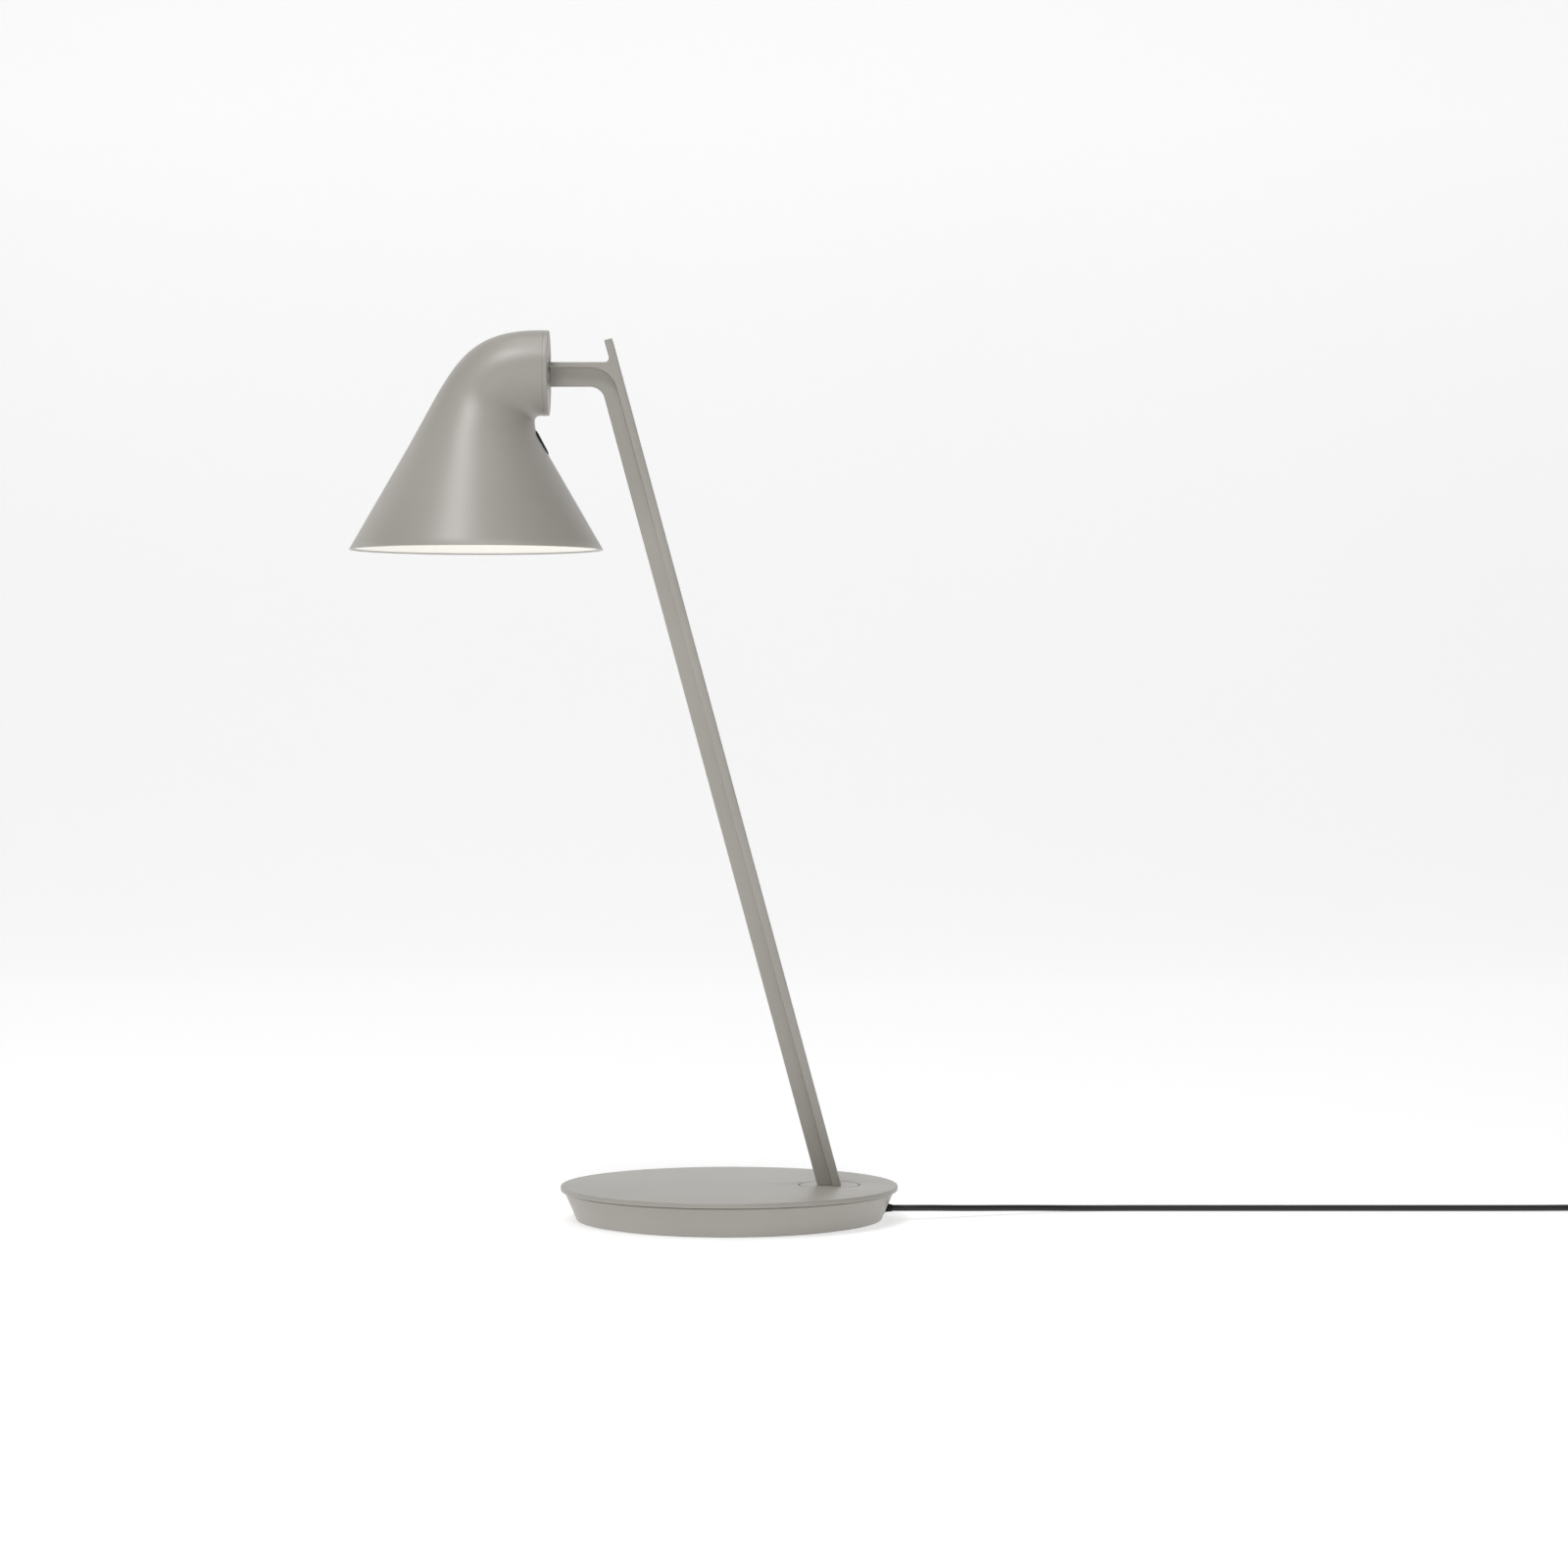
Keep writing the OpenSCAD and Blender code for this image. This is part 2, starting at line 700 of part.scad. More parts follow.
// Bent cone: sections fan round the inside corner, then lie level
module shade_shell() {
    n = shade_sides;
    last = len(shade_sections) - 1;
    points = concat(
        [for (s = shade_sections) each ellipse_ring(s, 0)],
        [for (s = shade_sections) each ellipse_ring(s, 1)]
    );
    half = (last + 1) * n;
    skins = [for (skin = [0, 1], i = [0:last - 1], k = [0:n - 1])
        let (a = skin * half + i * n + k, b = skin * half + i * n + (k + 1) % n)
        each skin == 0 ? [[a, a + n, b], [b, a + n, b + n]] : [[a, b, a + n], [b, b + n, a + n]]];
    ends = [for (k = [0:n - 1])
        let (l = (k + 1) % n, r = last * n)
        each [[k, l, half + k], [l, half + l, half + k],
              [r + k, half + r + k, r + l], [r + l, half + r + k, half + r + l]]];
    polyhedron(points, concat(skins, ends));
}

module shade() {
    color(paint)
    difference() {
        shade_shell();
        in_button_frame() slot_prism(button_l + 2 * button_gap, button_w + 2 * button_gap, -3, 8);
    }
}

// End ring of the neck, its plug, the bearing hub and the turning stop
module neck_cap() {
    outer = neck_r - shade_wall - 0.3;
    stop_half = 180 - head_turn - asin(2.2 / 12.8) - 2;
    back = -neck_x;
    color(paint)
    along_arm() {
        difference() {
            rotate_extrude($fn = round_fn)
                polygon([
                    [0, back], [neck_r - 0.3, back], [neck_r, back + 0.3], [neck_r, back + cap_t],
                    [outer, back + cap_t], [outer, back + 8], [outer - 3, back + 8],
                    [outer - 3, back + cap_t], [11, back + cap_t], [11, back + 11.5], [0, back + 11.5]
                ]);
            translate([0, 0, back - 1]) cylinder(r = bush_out, h = 20, $fn = round_fn);
        }
        rotate(180 - stop_half)
            rotate_extrude(angle = 2 * stop_half, $fn = round_fn)
                translate([11.6, back + 7]) square([4.4, 9.5]);
    }
}

module neck_bush() {
    color(white)
    along_arm() {
        ring(bush_out - 0.02, spigot_r + run_gap, 85.6, 96.8);
        ring(10.4, spigot_r + run_gap, 96.8, 98);
    }
}

module wave_washer() {
    color(steel) along_arm() ring(8.6, spigot_r + 0.4, 98, 99.25);
}

// White liner of the cone with the ledge that carries the diffuser
module reflector() {
    low = rim_z + 0.7;
    function liner_r(z) = cone_r(z) - shade_wall / cos(cone_angle) - liner_gap;
    color(white)
    translate([shade_x, 0, 0])
        rotate_extrude($fn = round_fn)
            polygon([
                [liner_r(low), low], [liner_r(ledge_z), ledge_z], [32, ledge_z], [32, ledge_z - 0.9],
                [liner_r(ledge_z - 0.9) - liner_wall, ledge_z - 0.9], [liner_r(low) - liner_wall, low]
            ]);
}

module diffuser() {
    color([0.98, 0.98, 0.95])
    translate([shade_x, 0, ledge_z]) cylinder(r = 34, h = ring_z - ledge_z, $fn = round_fn);
}

module at_module_bosses() {
    for (a = [60, 180, 300]) rotate(a) translate([boss_out, 0, 0]) children();
}

// Steel ring that holds the diffuser down and carries the light module; a notch
// at the rear clears the button
module module_ring() {
    color(steel)
    translate([shade_x, 0, 0])
        difference() {
            union() {
                translate([0, 0, ring_z]) cylinder(r = 33, h = 2, $fn = round_fn);
                at_module_bosses() translate([0, 0, ring_z + 1])
                    cylinder(r = 2.8, h = plate_z - ring_z - 1, $fn = small_fn);
            }
            translate([0, 0, ring_z - 1]) cylinder(r = 22, h = 4, $fn = round_fn);
            translate([29.8, -7, ring_z - 1]) cube([6, 14, 4]);
            at_module_bosses() translate([0, 0, ring_z - 1]) cylinder(r = 1.5, h = 8, $fn = small_fn);
        }
}

// Aluminium plate with fins; a flat at the rear clears the switch
module heat_sink() {
    color([0.75, 0.75, 0.77])
    translate([shade_x, 0, 0])
        difference() {
            union() {
                translate([0, 0, plate_z]) cylinder(r = 28.2, h = 3, $fn = round_fn);
                intersection() {
                    for (x = [-14:4:6])
                        translate([x - 0.6, -18, plate_z + 2.5]) cube([1.2, 36, 9.5]);
                    translate([0, 0, plate_z]) cylinder(r = 18, h = 20, $fn = round_fn);
                }
            }
            translate([19.4, -30, plate_z - 1]) cube([20, 60, 8]);
            at_module_bosses() translate([0, 0, plate_z - 1]) cylinder(r = 1.6, h = 8, $fn = small_fn);
            translate([10, 0, plate_z - 1]) cylinder(r = 1.4, h = 8, $fn = small_fn);
        }
}

module module_screws() {
    color(steel)
    translate([shade_x, 0, 0])
        at_module_bosses() {
            translate([0, 0, plate_z + 3]) cylinder(r = 2.4, h = 1.3, $fn = small_fn);
            translate([0, 0, ring_z + 0.2]) cylinder(r = 1.45, h = plate_z + 3 - ring_z - 0.2, $fn = small_fn);
        }
}

module led_board() {
    color([0.9, 0.9, 0.88])
    translate([shade_x, 0, plate_z - 1]) cylinder(r = 18.6, h = 1, $fn = round_fn);
}

module led_emitters() {
    color([0.95, 0.85, 0.35])
    translate([shade_x, 0, plate_z - 1.8])
        for (r = [[6, 60], [13, 30]], a = [0:r[1]:359])
            rotate(a) translate([r[0] - 1.4, -1.4, 0]) cube([2.8, 2.8, 0.8]);
}

// Small board with the switch that the button presses
module switch_board() {
    color([0.12, 0.3, 0.18])
    in_button_frame() {
        translate([-4, -5, 8.1]) cube([8, 10, 1]);
        translate([-3, -3, 5.6]) cube([6, 6, 2.5]);
        translate([0, 0, 5.1]) cylinder(r = 1.6, h = 0.5, $fn = small_fn);
    }
}

module switch_bracket() {
    foot = ring_z + 2;
    sheet = 0.9;
    front = 9.1;
    // Place in X and Z of a point in the button's frame, and its height there at a level
    function behind(up, depth) =
        [button_face[0] - up * sin(button_tilt) - depth * cos(button_tilt),
         button_face[2] + up * cos(button_tilt) - depth * sin(button_tilt)];
    function up_at(z, depth) = (z - button_face[2] + depth * sin(button_tilt)) / cos(button_tilt);
    color(steel)
    side_plate([
        [-99.4, foot], behind(up_at(foot, front), front), behind(4, front), behind(4, front + sheet),
        behind(up_at(foot + sheet, front + sheet), front + sheet), [-99.4, foot + sheet]
    ], 8);
}

// Lead from the arm to the light board, and a thinner one to the switch
module head_lead() {
    color(black) {
        tube_along([
            [-101.1, 0, neck_z], [-105.5, 0, neck_z], [-107.6, 0, 400.9], [-109, 0, 399.2],
            [-109.6, 0, 396.5], [-109.8, 0, 390], [-109.8, 0, 370], [-109.8, 0, plate_z + eps]
        ], wire_r, [0, 1, 0]);
        tube_along([
            [-106, 5, 366.5], [-102, 5, 366.5], [-100, 4.8, 366.8], [-98.6, 4.6, 366.9], [-97.6, 4.5, 366.7]
        ], 0.5, [0, 0, 1]);
    }
}

// Oval button with a retaining flange and a plunger
module dimmer_button() {
    color(black)
    in_button_frame() {
        slot_prism(button_l, button_w, 0, flange_to);
        slot_prism(button_l + 2, button_w + 2, flange_from, flange_to);
        translate([0, 0, flange_to]) cylinder(r = 1.5, h = 0.4, $fn = small_fn);
    }
}

base_shell();
top_plate();
ballast();
bottom_plate();
foot_pad();
plate_screws();
swivel_bush();
friction_washer();
cord_grommet();
cord_clamp();
clamp_screws();
base_lead();
cord();
cord_coil();
cord_tie();
cord_tail();
adapter_relief();
adapter_housing();
adapter_lid();
adapter_board();
plug_pins();
swivel_disc();
swivel_washer();
swivel_nut();
swivel_stop();
stem_arm();
stem_cover();
stem_lead();
arm_spigot();
stop_washer();
spigot_nut();
shade();
neck_cap();
neck_bush();
wave_washer();
reflector();
diffuser();
module_ring();
heat_sink();
module_screws();
led_board();
led_emitters();
switch_board();
switch_bracket();
head_lead();
dimmer_button();
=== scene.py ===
"""Desk lamp with a weighted foot, a leaning T-section stem and a turning cone-shaped head."""

import math

import bmesh
import bpy
from mathutils import Matrix, Vector


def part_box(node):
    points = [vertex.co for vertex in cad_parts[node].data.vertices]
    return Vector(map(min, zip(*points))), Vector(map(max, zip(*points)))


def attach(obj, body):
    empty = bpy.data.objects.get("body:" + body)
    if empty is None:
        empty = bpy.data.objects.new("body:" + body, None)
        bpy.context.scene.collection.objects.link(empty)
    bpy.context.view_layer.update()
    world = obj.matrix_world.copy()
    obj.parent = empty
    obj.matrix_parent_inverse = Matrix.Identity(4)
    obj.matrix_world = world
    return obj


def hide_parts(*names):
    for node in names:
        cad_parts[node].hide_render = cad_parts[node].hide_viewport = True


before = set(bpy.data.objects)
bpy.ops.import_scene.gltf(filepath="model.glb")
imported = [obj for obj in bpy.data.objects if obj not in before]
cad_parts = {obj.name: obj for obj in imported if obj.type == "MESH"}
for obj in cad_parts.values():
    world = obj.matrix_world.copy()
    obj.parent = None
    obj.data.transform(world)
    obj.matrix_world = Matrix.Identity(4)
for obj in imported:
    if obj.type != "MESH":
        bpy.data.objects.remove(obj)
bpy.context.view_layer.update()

mm = 0.001

# ---- Camera ----
# A long lens two metres in front of the lamp, at half its height and a little
# right of the foot's centre, tipped down by about one degree.
camera = bpy.data.objects.new("camera", bpy.data.cameras.new("camera"))
camera.data.lens = 96.66
camera.data.sensor_width = 36
camera.location = (0.026, -1.997, 0.2386)
camera.rotation_euler = (math.radians(90 - 0.908), 0, 0)
bpy.context.scene.collection.objects.link(camera)
bpy.context.scene.camera = camera


# ---- Foot pad ----
# A disc of black rubber glued under the foot, moulded with rings that grip the
# desk. Four holes leave room for the heads of the screws.
class Wire:
    """One value, colour or vector in a node tree. Sums and products on it add Math nodes."""

    def __init__(self, tree, socket=None):
        self.tree = tree
        self.socket = socket

    def node(self, kind, settings, inputs, take=0):
        made = self.tree.nodes.new(kind)
        for name, value in settings.items():
            if name == "stops":
                for stop, (place, colour) in zip(made.color_ramp.elements, value):
                    stop.position = place
                    stop.color = colour
            else:
                setattr(made, name, value)
        for name, value in inputs.items():
            if isinstance(value, Wire):
                self.tree.links.new(value.socket, made.inputs[name])
            else:
                made.inputs[name].default_value = value
        return Wire(self.tree, made.outputs[take])

    def maths(self, operation, *values):
        return self.node("ShaderNodeMath", {"operation": operation}, dict(enumerate(values)))

    def __add__(self, other):
        return self.maths("ADD", self, other)

    def __sub__(self, other):
        return self.maths("SUBTRACT", self, other)

    def __rsub__(self, other):
        return self.maths("SUBTRACT", other, self)

    def __mul__(self, other):
        return self.maths("MULTIPLY", self, other)

    def __truediv__(self, other):
        return self.maths("DIVIDE", self, other)

    __radd__ = __add__
    __rmul__ = __mul__

    def noise(self, scale, detail=2.0):
        return self.node("ShaderNodeTexNoise", {}, {"Vector": self, "Scale": scale, "Detail": detail})

    def cells(self, scale, feature="F1"):
        return self.node("ShaderNodeTexVoronoi", {"feature": feature}, {"Vector": self, "Scale": scale})

    def step(self, low, high):
        return self.node(
            "ShaderNodeMapRange",
            {"interpolation_type": "SMOOTHSTEP"},
            {"Value": self, "From Min": low, "From Max": high},
        )

    def tints(self, low, high):
        return self.node("ShaderNodeMix", {"data_type": "RGBA"}, {0: self, 6: low, 7: high}, 2)

    def relief(self, depth, strength=1.0):
        return self.node("ShaderNodeBump", {}, {"Height": self, "Distance": depth, "Strength": strength})


def tint(red, green, blue):
    """A colour chart's values from 0 to 255, as the shader's own linear colour."""
    return (*(((c / 255 + 0.055) / 1.055) ** 2.4 for c in (red, green, blue)), 1.0)


def finish(name, plain):
    """A material whose shader holds the plain values, and its Object coordinates."""
    material = bpy.data.materials.new(name)
    material.use_nodes = True
    tree = material.node_tree
    shader = tree.nodes["Principled BSDF"]
    for socket, value in plain.items():
        shader.inputs[socket].default_value = value

    def lay(**channels):
        for socket, wire in channels.items():
            tree.links.new(wire.socket, shader.inputs[socket.replace("_", " ")])

    return material, lay, Wire(tree).node("ShaderNodeTexCoord", {}, {}, 3)


def rounded(outline, closed=True, steps=5):
    """Outline of (x, y) or (x, y, radius) corners with the given radii worked in."""
    count = len(outline)
    points = []
    for i, corner in enumerate(outline):
        here = Vector(corner[:2])
        if len(corner) == 2 or (not closed and i in (0, count - 1)):
            points.append(here)
            continue
        back = Vector(outline[i - 1][:2]) - here
        ahead = Vector(outline[(i + 1) % count][:2]) - here
        half = back.angle(ahead) / 2
        run = min(corner[2] / math.tan(half), 0.49 * back.length, 0.49 * ahead.length)
        centre = here + (back.normalized() + ahead.normalized()).normalized() * run / math.cos(half)
        start = here + back.normalized() * run - centre
        turn = start.angle_signed(here + ahead.normalized() * run - centre)
        points += [centre + Matrix.Rotation(-turn * k / steps, 2) @ start for k in range(steps + 1)]
    return points


def part(name, points, faces, place=Matrix.Identity(4), scale=mm):
    """A piece from points and faces, put in its place and made to face outwards."""
    mesh = bpy.data.meshes.new(name)
    mesh.from_pydata([place @ (Vector(p) * scale) for p in points], [], faces)
    sheet = bmesh.new()
    sheet.from_mesh(mesh)
    bmesh.ops.remove_doubles(sheet, verts=sheet.verts, dist=1e-7)
    bmesh.ops.recalc_face_normals(sheet, faces=sheet.faces)
    sheet.to_mesh(mesh)
    sheet.free()
    piece = bpy.data.objects.new(name, mesh)
    bpy.context.scene.collection.objects.link(piece)
    return piece


def turned(name, outline, centre=(0, 0, 0), along="Z", sides=192, closed=False):
    """A turned part. The outline holds (radius, height), and the axis runs along Z, X, -X or -Y."""
    points = []
    rings = []
    for radius, height in outline:
        count = 1 if radius < 1e-6 else sides
        rings.append([len(points) + k % count for k in range(sides)])
        turns = [math.tau * k / sides for k in range(count)]
        points += [(radius * math.cos(t), radius * math.sin(t), height) for t in turns]
    faces = []
    for i in range(len(rings) if closed else len(rings) - 1):
        low, high = rings[i], rings[(i + 1) % len(rings)]
        for k in range(sides):
            n = (k + 1) % sides
            ring = list(dict.fromkeys([low[k], low[n], high[n], high[k]]))
            if len(ring) > 2:
                faces.append(ring)
    turns = {"Z": (0, "Y"), "X": (90, "Y"), "-X": (-90, "Y"), "-Y": (90, "X")}
    angle, axis = turns[along]
    place = Matrix.Translation(Vector(centre) * mm) @ Matrix.Rotation(math.radians(angle), 4, axis)
    return part(name, points, faces, place)


def plate(name, outline, low, high, place=Matrix.Identity(4)):
    """A plate with an (x, y) outline between two heights."""
    count = len(outline)
    points = [(x, y, z) for z in (low, high) for x, y in outline]
    faces = [[k, (k + 1) % count, count + (k + 1) % count, count + k] for k in range(count)]
    return part(name, points, faces + [list(range(count)), list(range(count, 2 * count))], place)


def settle(piece):
    """Works the piece's modifiers into its mesh."""
    bpy.context.view_layer.update()
    graph = bpy.context.evaluated_depsgraph_get()
    mesh = bpy.data.meshes.new_from_object(piece.evaluated_get(graph), depsgraph=graph)
    piece.modifiers.clear()
    piece.data = mesh
    return piece


def worked(piece, operation, *tools):
    """Cuts the tools out of the piece, or joins them to it."""
    for tool in tools:
        modifier = piece.modifiers.new("work", "BOOLEAN")
        modifier.operation = operation
        modifier.solver = "EXACT"
        modifier.object = tool
        settle(piece)
        bpy.data.objects.remove(tool)
    return piece


def eased(piece, width, steps=2, over=40):
    """Rounds the piece's sharp edges; width is in millimetres."""
    modifier = piece.modifiers.new("edges", "BEVEL")
    modifier.width = width * mm
    modifier.segments = steps
    modifier.limit_method = "ANGLE"
    modifier.angle_limit = math.radians(over)
    modifier.use_clamp_overlap = True
    return settle(piece)


def done(piece, material, slot, body, *nodes):
    """Gives a finished piece its material, its body and the CAD nodes that it stands for."""
    piece.data.materials.clear()
    piece.data.materials.append(material)
    for face in piece.data.polygons:
        face.material_index = 0
    piece.data.shade_smooth()
    piece.data.set_sharp_from_angle(angle=math.radians(32))
    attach(piece, body)
    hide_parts(*nodes)
    return piece


def extent(node):
    """Lowest and highest corner of a CAD node in millimetres."""
    low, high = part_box(node)
    return low / mm, high / mm


def round_bar(radius, low, high, centre=(0, 0, 0), along="Z", sides=64):
    """A plain round bar, used as a tool and for small studs."""
    return turned("bar", [(0, low), (radius, low), (radius, high), (0, high)], centre, along, sides)


rubber, lay, place = finish("black rubber", {"Roughness": 0.8, "Specular IOR Level": 0.35})
speckle = place.noise(2200, 4)
lay(
    Base_Color=speckle.tints(tint(22, 22, 23), tint(38, 38, 39)),
    Roughness=0.7 + 0.2 * place.noise(160, 3),
    Normal=speckle.relief(0.00006, 0.6),
)

screw_angles = [math.radians(a) for a in (45, 135, 225, 315)]
screw_ring = 45
pad_low, pad_high = extent("foot_pad")
pad_hole_r = 4.2
plain_band = 5
first_groove_r = 8
groove_pitch = 3.2
groove_count = 18
groove_half = 0.6
groove_rise = 0.35
groove_floor = groove_half - 0.25
last_land_r = 65
outline = [(0, pad_low.z)]
for ring in [first_groove_r + groove_pitch * k for k in range(groove_count)]:
    if abs(ring - screw_ring) > plain_band:
        outline += [
            (ring - groove_half, pad_low.z), (ring - groove_floor, pad_low.z + groove_rise),
            (ring + groove_floor, pad_low.z + groove_rise), (ring + groove_half, pad_low.z)
        ]
outline += rounded([
    (last_land_r, pad_low.z), (pad_high.x, pad_low.z, 0.3), (pad_high.x, pad_high.z, 0.15), (0, pad_high.z)
], closed=False)
foot_pad = turned("rubber_foot_pad", outline)
worked(foot_pad, "DIFFERENCE", *[
    round_bar(pad_hole_r, -1, 3, (screw_ring * math.cos(a), screw_ring * math.sin(a), 0))
    for a in screw_angles
])
done(foot_pad, rubber, "black_rubber", "foot", "foot_pad")

# ---- Bottom plate, ballast and inner bearing parts ----
# A zinc-plated sheet closes the foot under a turned steel ballast, which holds
# the swivel's acetal bush. These parts keep their true shape and get a finish.
zinc, lay, place = finish("zinc-plated steel", {"Metallic": 1.0})
spangle = place.cells(420)
lay(
    Base_Color=spangle.tints(tint(168, 170, 174), tint(196, 198, 200)),
    Roughness=0.28 + 0.2 * place.noise(600, 3),
    Normal=place.noise(3000, 3).relief(0.00001, 0.5),
)

cast_steel, lay, place = finish("turned steel", {"Metallic": 1.0})
from_axis = place.node("ShaderNodeVectorMath", {"operation": "MULTIPLY"}, {0: place, 1: (1, 1, 0)})
radius = from_axis.node("ShaderNodeVectorMath", {"operation": "LENGTH"}, {0: from_axis}, 1)
tool_marks = (radius * 12000).maths("SINE")
lay(
    Base_Color=place.noise(90, 4).tints(tint(92, 93, 96), tint(128, 129, 131)),
    Roughness=0.36 + 0.18 * place.noise(240, 3),
    Normal=tool_marks.relief(0.00002, 0.5),
)

acetal, lay, place = finish("white acetal", {"Subsurface Weight": 0.05, "Specular IOR Level": 0.4})
lay(
    Base_Color=place.noise(60).tints(tint(226, 225, 219), tint(238, 237, 232)),
    Roughness=0.38 + 0.12 * place.noise(500),
    Normal=place.noise(1800).relief(0.00001, 0.4),
)


def keep(material, *nodes):
    """CAD nodes that stay as they are and take a finish."""
    for node in nodes:
        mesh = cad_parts[node].data
        mesh.materials.clear()
        mesh.materials.append(material)
        mesh.shade_smooth()
        mesh.set_sharp_from_angle(angle=math.radians(32))


keep(zinc, "bottom_plate", "friction_washer", "swivel_washer", "swivel_nut", "swivel_stop", "clamp_screws")
keep(cast_steel, "ballast")
keep(acetal, "swivel_bush")

# ---- Plate screws ----
# Four steel socket screws clamp the bottom plate, the ballast and the shell up
# against the bosses of the top plate. They are set out round one circle.
def grown(name, inputs, draw):
    """Runs a small Geometry Nodes tree and keeps its result as a plain mesh."""
    tree = bpy.data.node_groups.new(name, "GeometryNodeTree")
    tree.interface.new_socket("Mesh", in_out="OUTPUT", socket_type="NodeSocketGeometry")
    given = tree.nodes.new("NodeGroupInput")
    labels = {}
    for label, (kind, value) in inputs.items():
        labels[label] = tree.interface.new_socket(label, in_out="INPUT", socket_type="NodeSocket" + kind)
    shape = draw({label: Wire(tree, given.outputs[label]) for label in inputs})
    whole = shape.node("GeometryNodeRealizeInstances", {}, {0: shape})
    finish_wire = Wire(tree, given.outputs["Finish"])
    coated = whole.node("GeometryNodeSetMaterial", {}, {0: whole, "Material": finish_wire})
    tree.links.new(coated.socket, tree.nodes.new("NodeGroupOutput").inputs[0])
    piece = bpy.data.objects.new(name, bpy.data.meshes.new(name))
    bpy.context.scene.collection.objects.link(piece)
    modifier = piece.modifiers.new(name, "NODES")
    modifier.node_group = tree
    for label, (kind, value) in inputs.items():
        modifier[labels[label].identifier] = value
    return settle(piece)


def set_round(put):
    """Copies of a part round a circle about a centre, each turned with its place on it."""
    row = put["Count"].node("GeometryNodeMeshLine", {}, {"Count": put["Count"], "Offset": (0, 0, 0)})
    index = row.node("GeometryNodeInputIndex", {}, {})
    angle = index * math.tau / put["Count"] + put["First angle"]
    spin = angle.node("ShaderNodeCombineXYZ", {}, {2: angle})
    arm = angle.node("ShaderNodeCombineXYZ", {}, {
        0: angle.maths("COSINE") * put["Circle"], 1: angle.maths("SINE") * put["Circle"]
    })
    spot = arm.node("ShaderNodeVectorMath", {"operation": "ADD"}, {0: arm, 1: put["Centre"]})
    laid = row.node("GeometryNodeSetPosition", {}, {"Geometry": row, "Position": spot})
    single = row.node("GeometryNodeObjectInfo", {}, {"Object": put["Part"]}, "Geometry")
    return laid.node("GeometryNodeInstanceOnPoints", {}, {
        "Points": laid, "Instance": single, "Rotation": spin
    })


def copies_round(name, single, count, circle, first, centre, material):
    """One piece made of copies of a part, which is then put away."""
    piece = grown(name, {
        "Part": ("Object", single),
        "Count": ("Int", count),
        "Circle": ("Float", circle * mm),
        "First angle": ("Float", math.radians(first)),
        "Centre": ("Vector", [c * mm for c in centre]),
        "Finish": ("Material", material),
    }, set_round)
    bpy.data.objects.remove(single)
    return piece


def socket_screw(head_r, head_low, head_high, shank_r, top, key_r):
    """A screw with its head down, a key socket in it and a fine thread."""
    pitch = 0.7
    thread = []
    turns = int((top - head_high - 0.6) / pitch)
    for k in range(turns):
        z = head_high + 0.3 + pitch * k
        thread += [(shank_r, z), (shank_r - 0.3, z + pitch / 2)]
    outline = rounded([
        (0, head_low), (head_r, head_low, 0.25), (head_r, head_high, 0.1), (shank_r, head_high)
    ], closed=False, steps=4)
    screw = turned("screw", outline + thread + [(shank_r - 0.4, top), (0, top)], sides=48)
    key = plate("key", [
        (key_r * math.cos(math.radians(a)), key_r * math.sin(math.radians(a))) for a in range(0, 360, 60)
    ], head_low - 1, head_low + 0.55 * (head_high - head_low))
    return worked(screw, "DIFFERENCE", key)


screw_low, screw_high = extent("plate_screws")
head_top = 1.2
single = socket_screw(
    head_r=3.6, head_low=screw_low.z, head_high=head_top, shank_r=1.95, top=screw_high.z, key_r=1.3
)
plate_screws = copies_round(
    "plate_screws_socket", single, len(screw_angles), screw_ring, 45, (0, 0, 0), zinc
)
done(plate_screws, zinc, "zinc_steel", "foot", "plate_screws")

# ---- Base shell ----
# A spun aluminium ring that widens towards the plate, powder coated warm grey.
# A narrow step at its top leaves a shadow line, and a hole passes the lead.
paint, lay, place = finish("warm grey powder coat", {"Specular IOR Level": 0.6})
grain = place.noise(2600, 3)
lay(
    Base_Color=(place.noise(14, 3) * 0.6 + grain * 0.4).step(0.2, 0.8).tints(
        tint(168, 164, 157), tint(178, 174, 167)
    ),
    Roughness=0.35 + 0.08 * grain,
    Normal=(grain + 0.5 * place.noise(900, 2)).relief(0.00003, 0.35),
)

shell_low = extent("base_shell")[0]
plate_t = 2.2
plate_low = extent("top_plate")[1].z - plate_t
low_r = 72.4
top_r = 78.2
step_r = 76.6
step_z = plate_low - 0.4
seat_r = 68.4
seat_t = 1.4
inside_low_r = 70.6
inside_low_z = 2.9
inside_top_r = 74.4
base_shell = turned("base_shell_spun", rounded([
    (inside_low_r, shell_low.z, 0.3), (low_r, shell_low.z, 0.5), (top_r, step_z, 0.4),
    (step_r, step_z, 0.15), (step_r, plate_low), (seat_r, plate_low), (seat_r, plate_low - seat_t),
    (inside_top_r, step_z - seat_t, 0.6), (inside_low_r, inside_low_z, 0.6)
]), sides=320, closed=True)
exit_z = 5.5
exit_hole_r = 3
worked(base_shell, "DIFFERENCE", round_bar(exit_hole_r, seat_r - 2.4, top_r + 1.8, (0, 0, exit_z), "X"))
done(base_shell, paint, "warm_grey_paint", "foot", "base_shell")

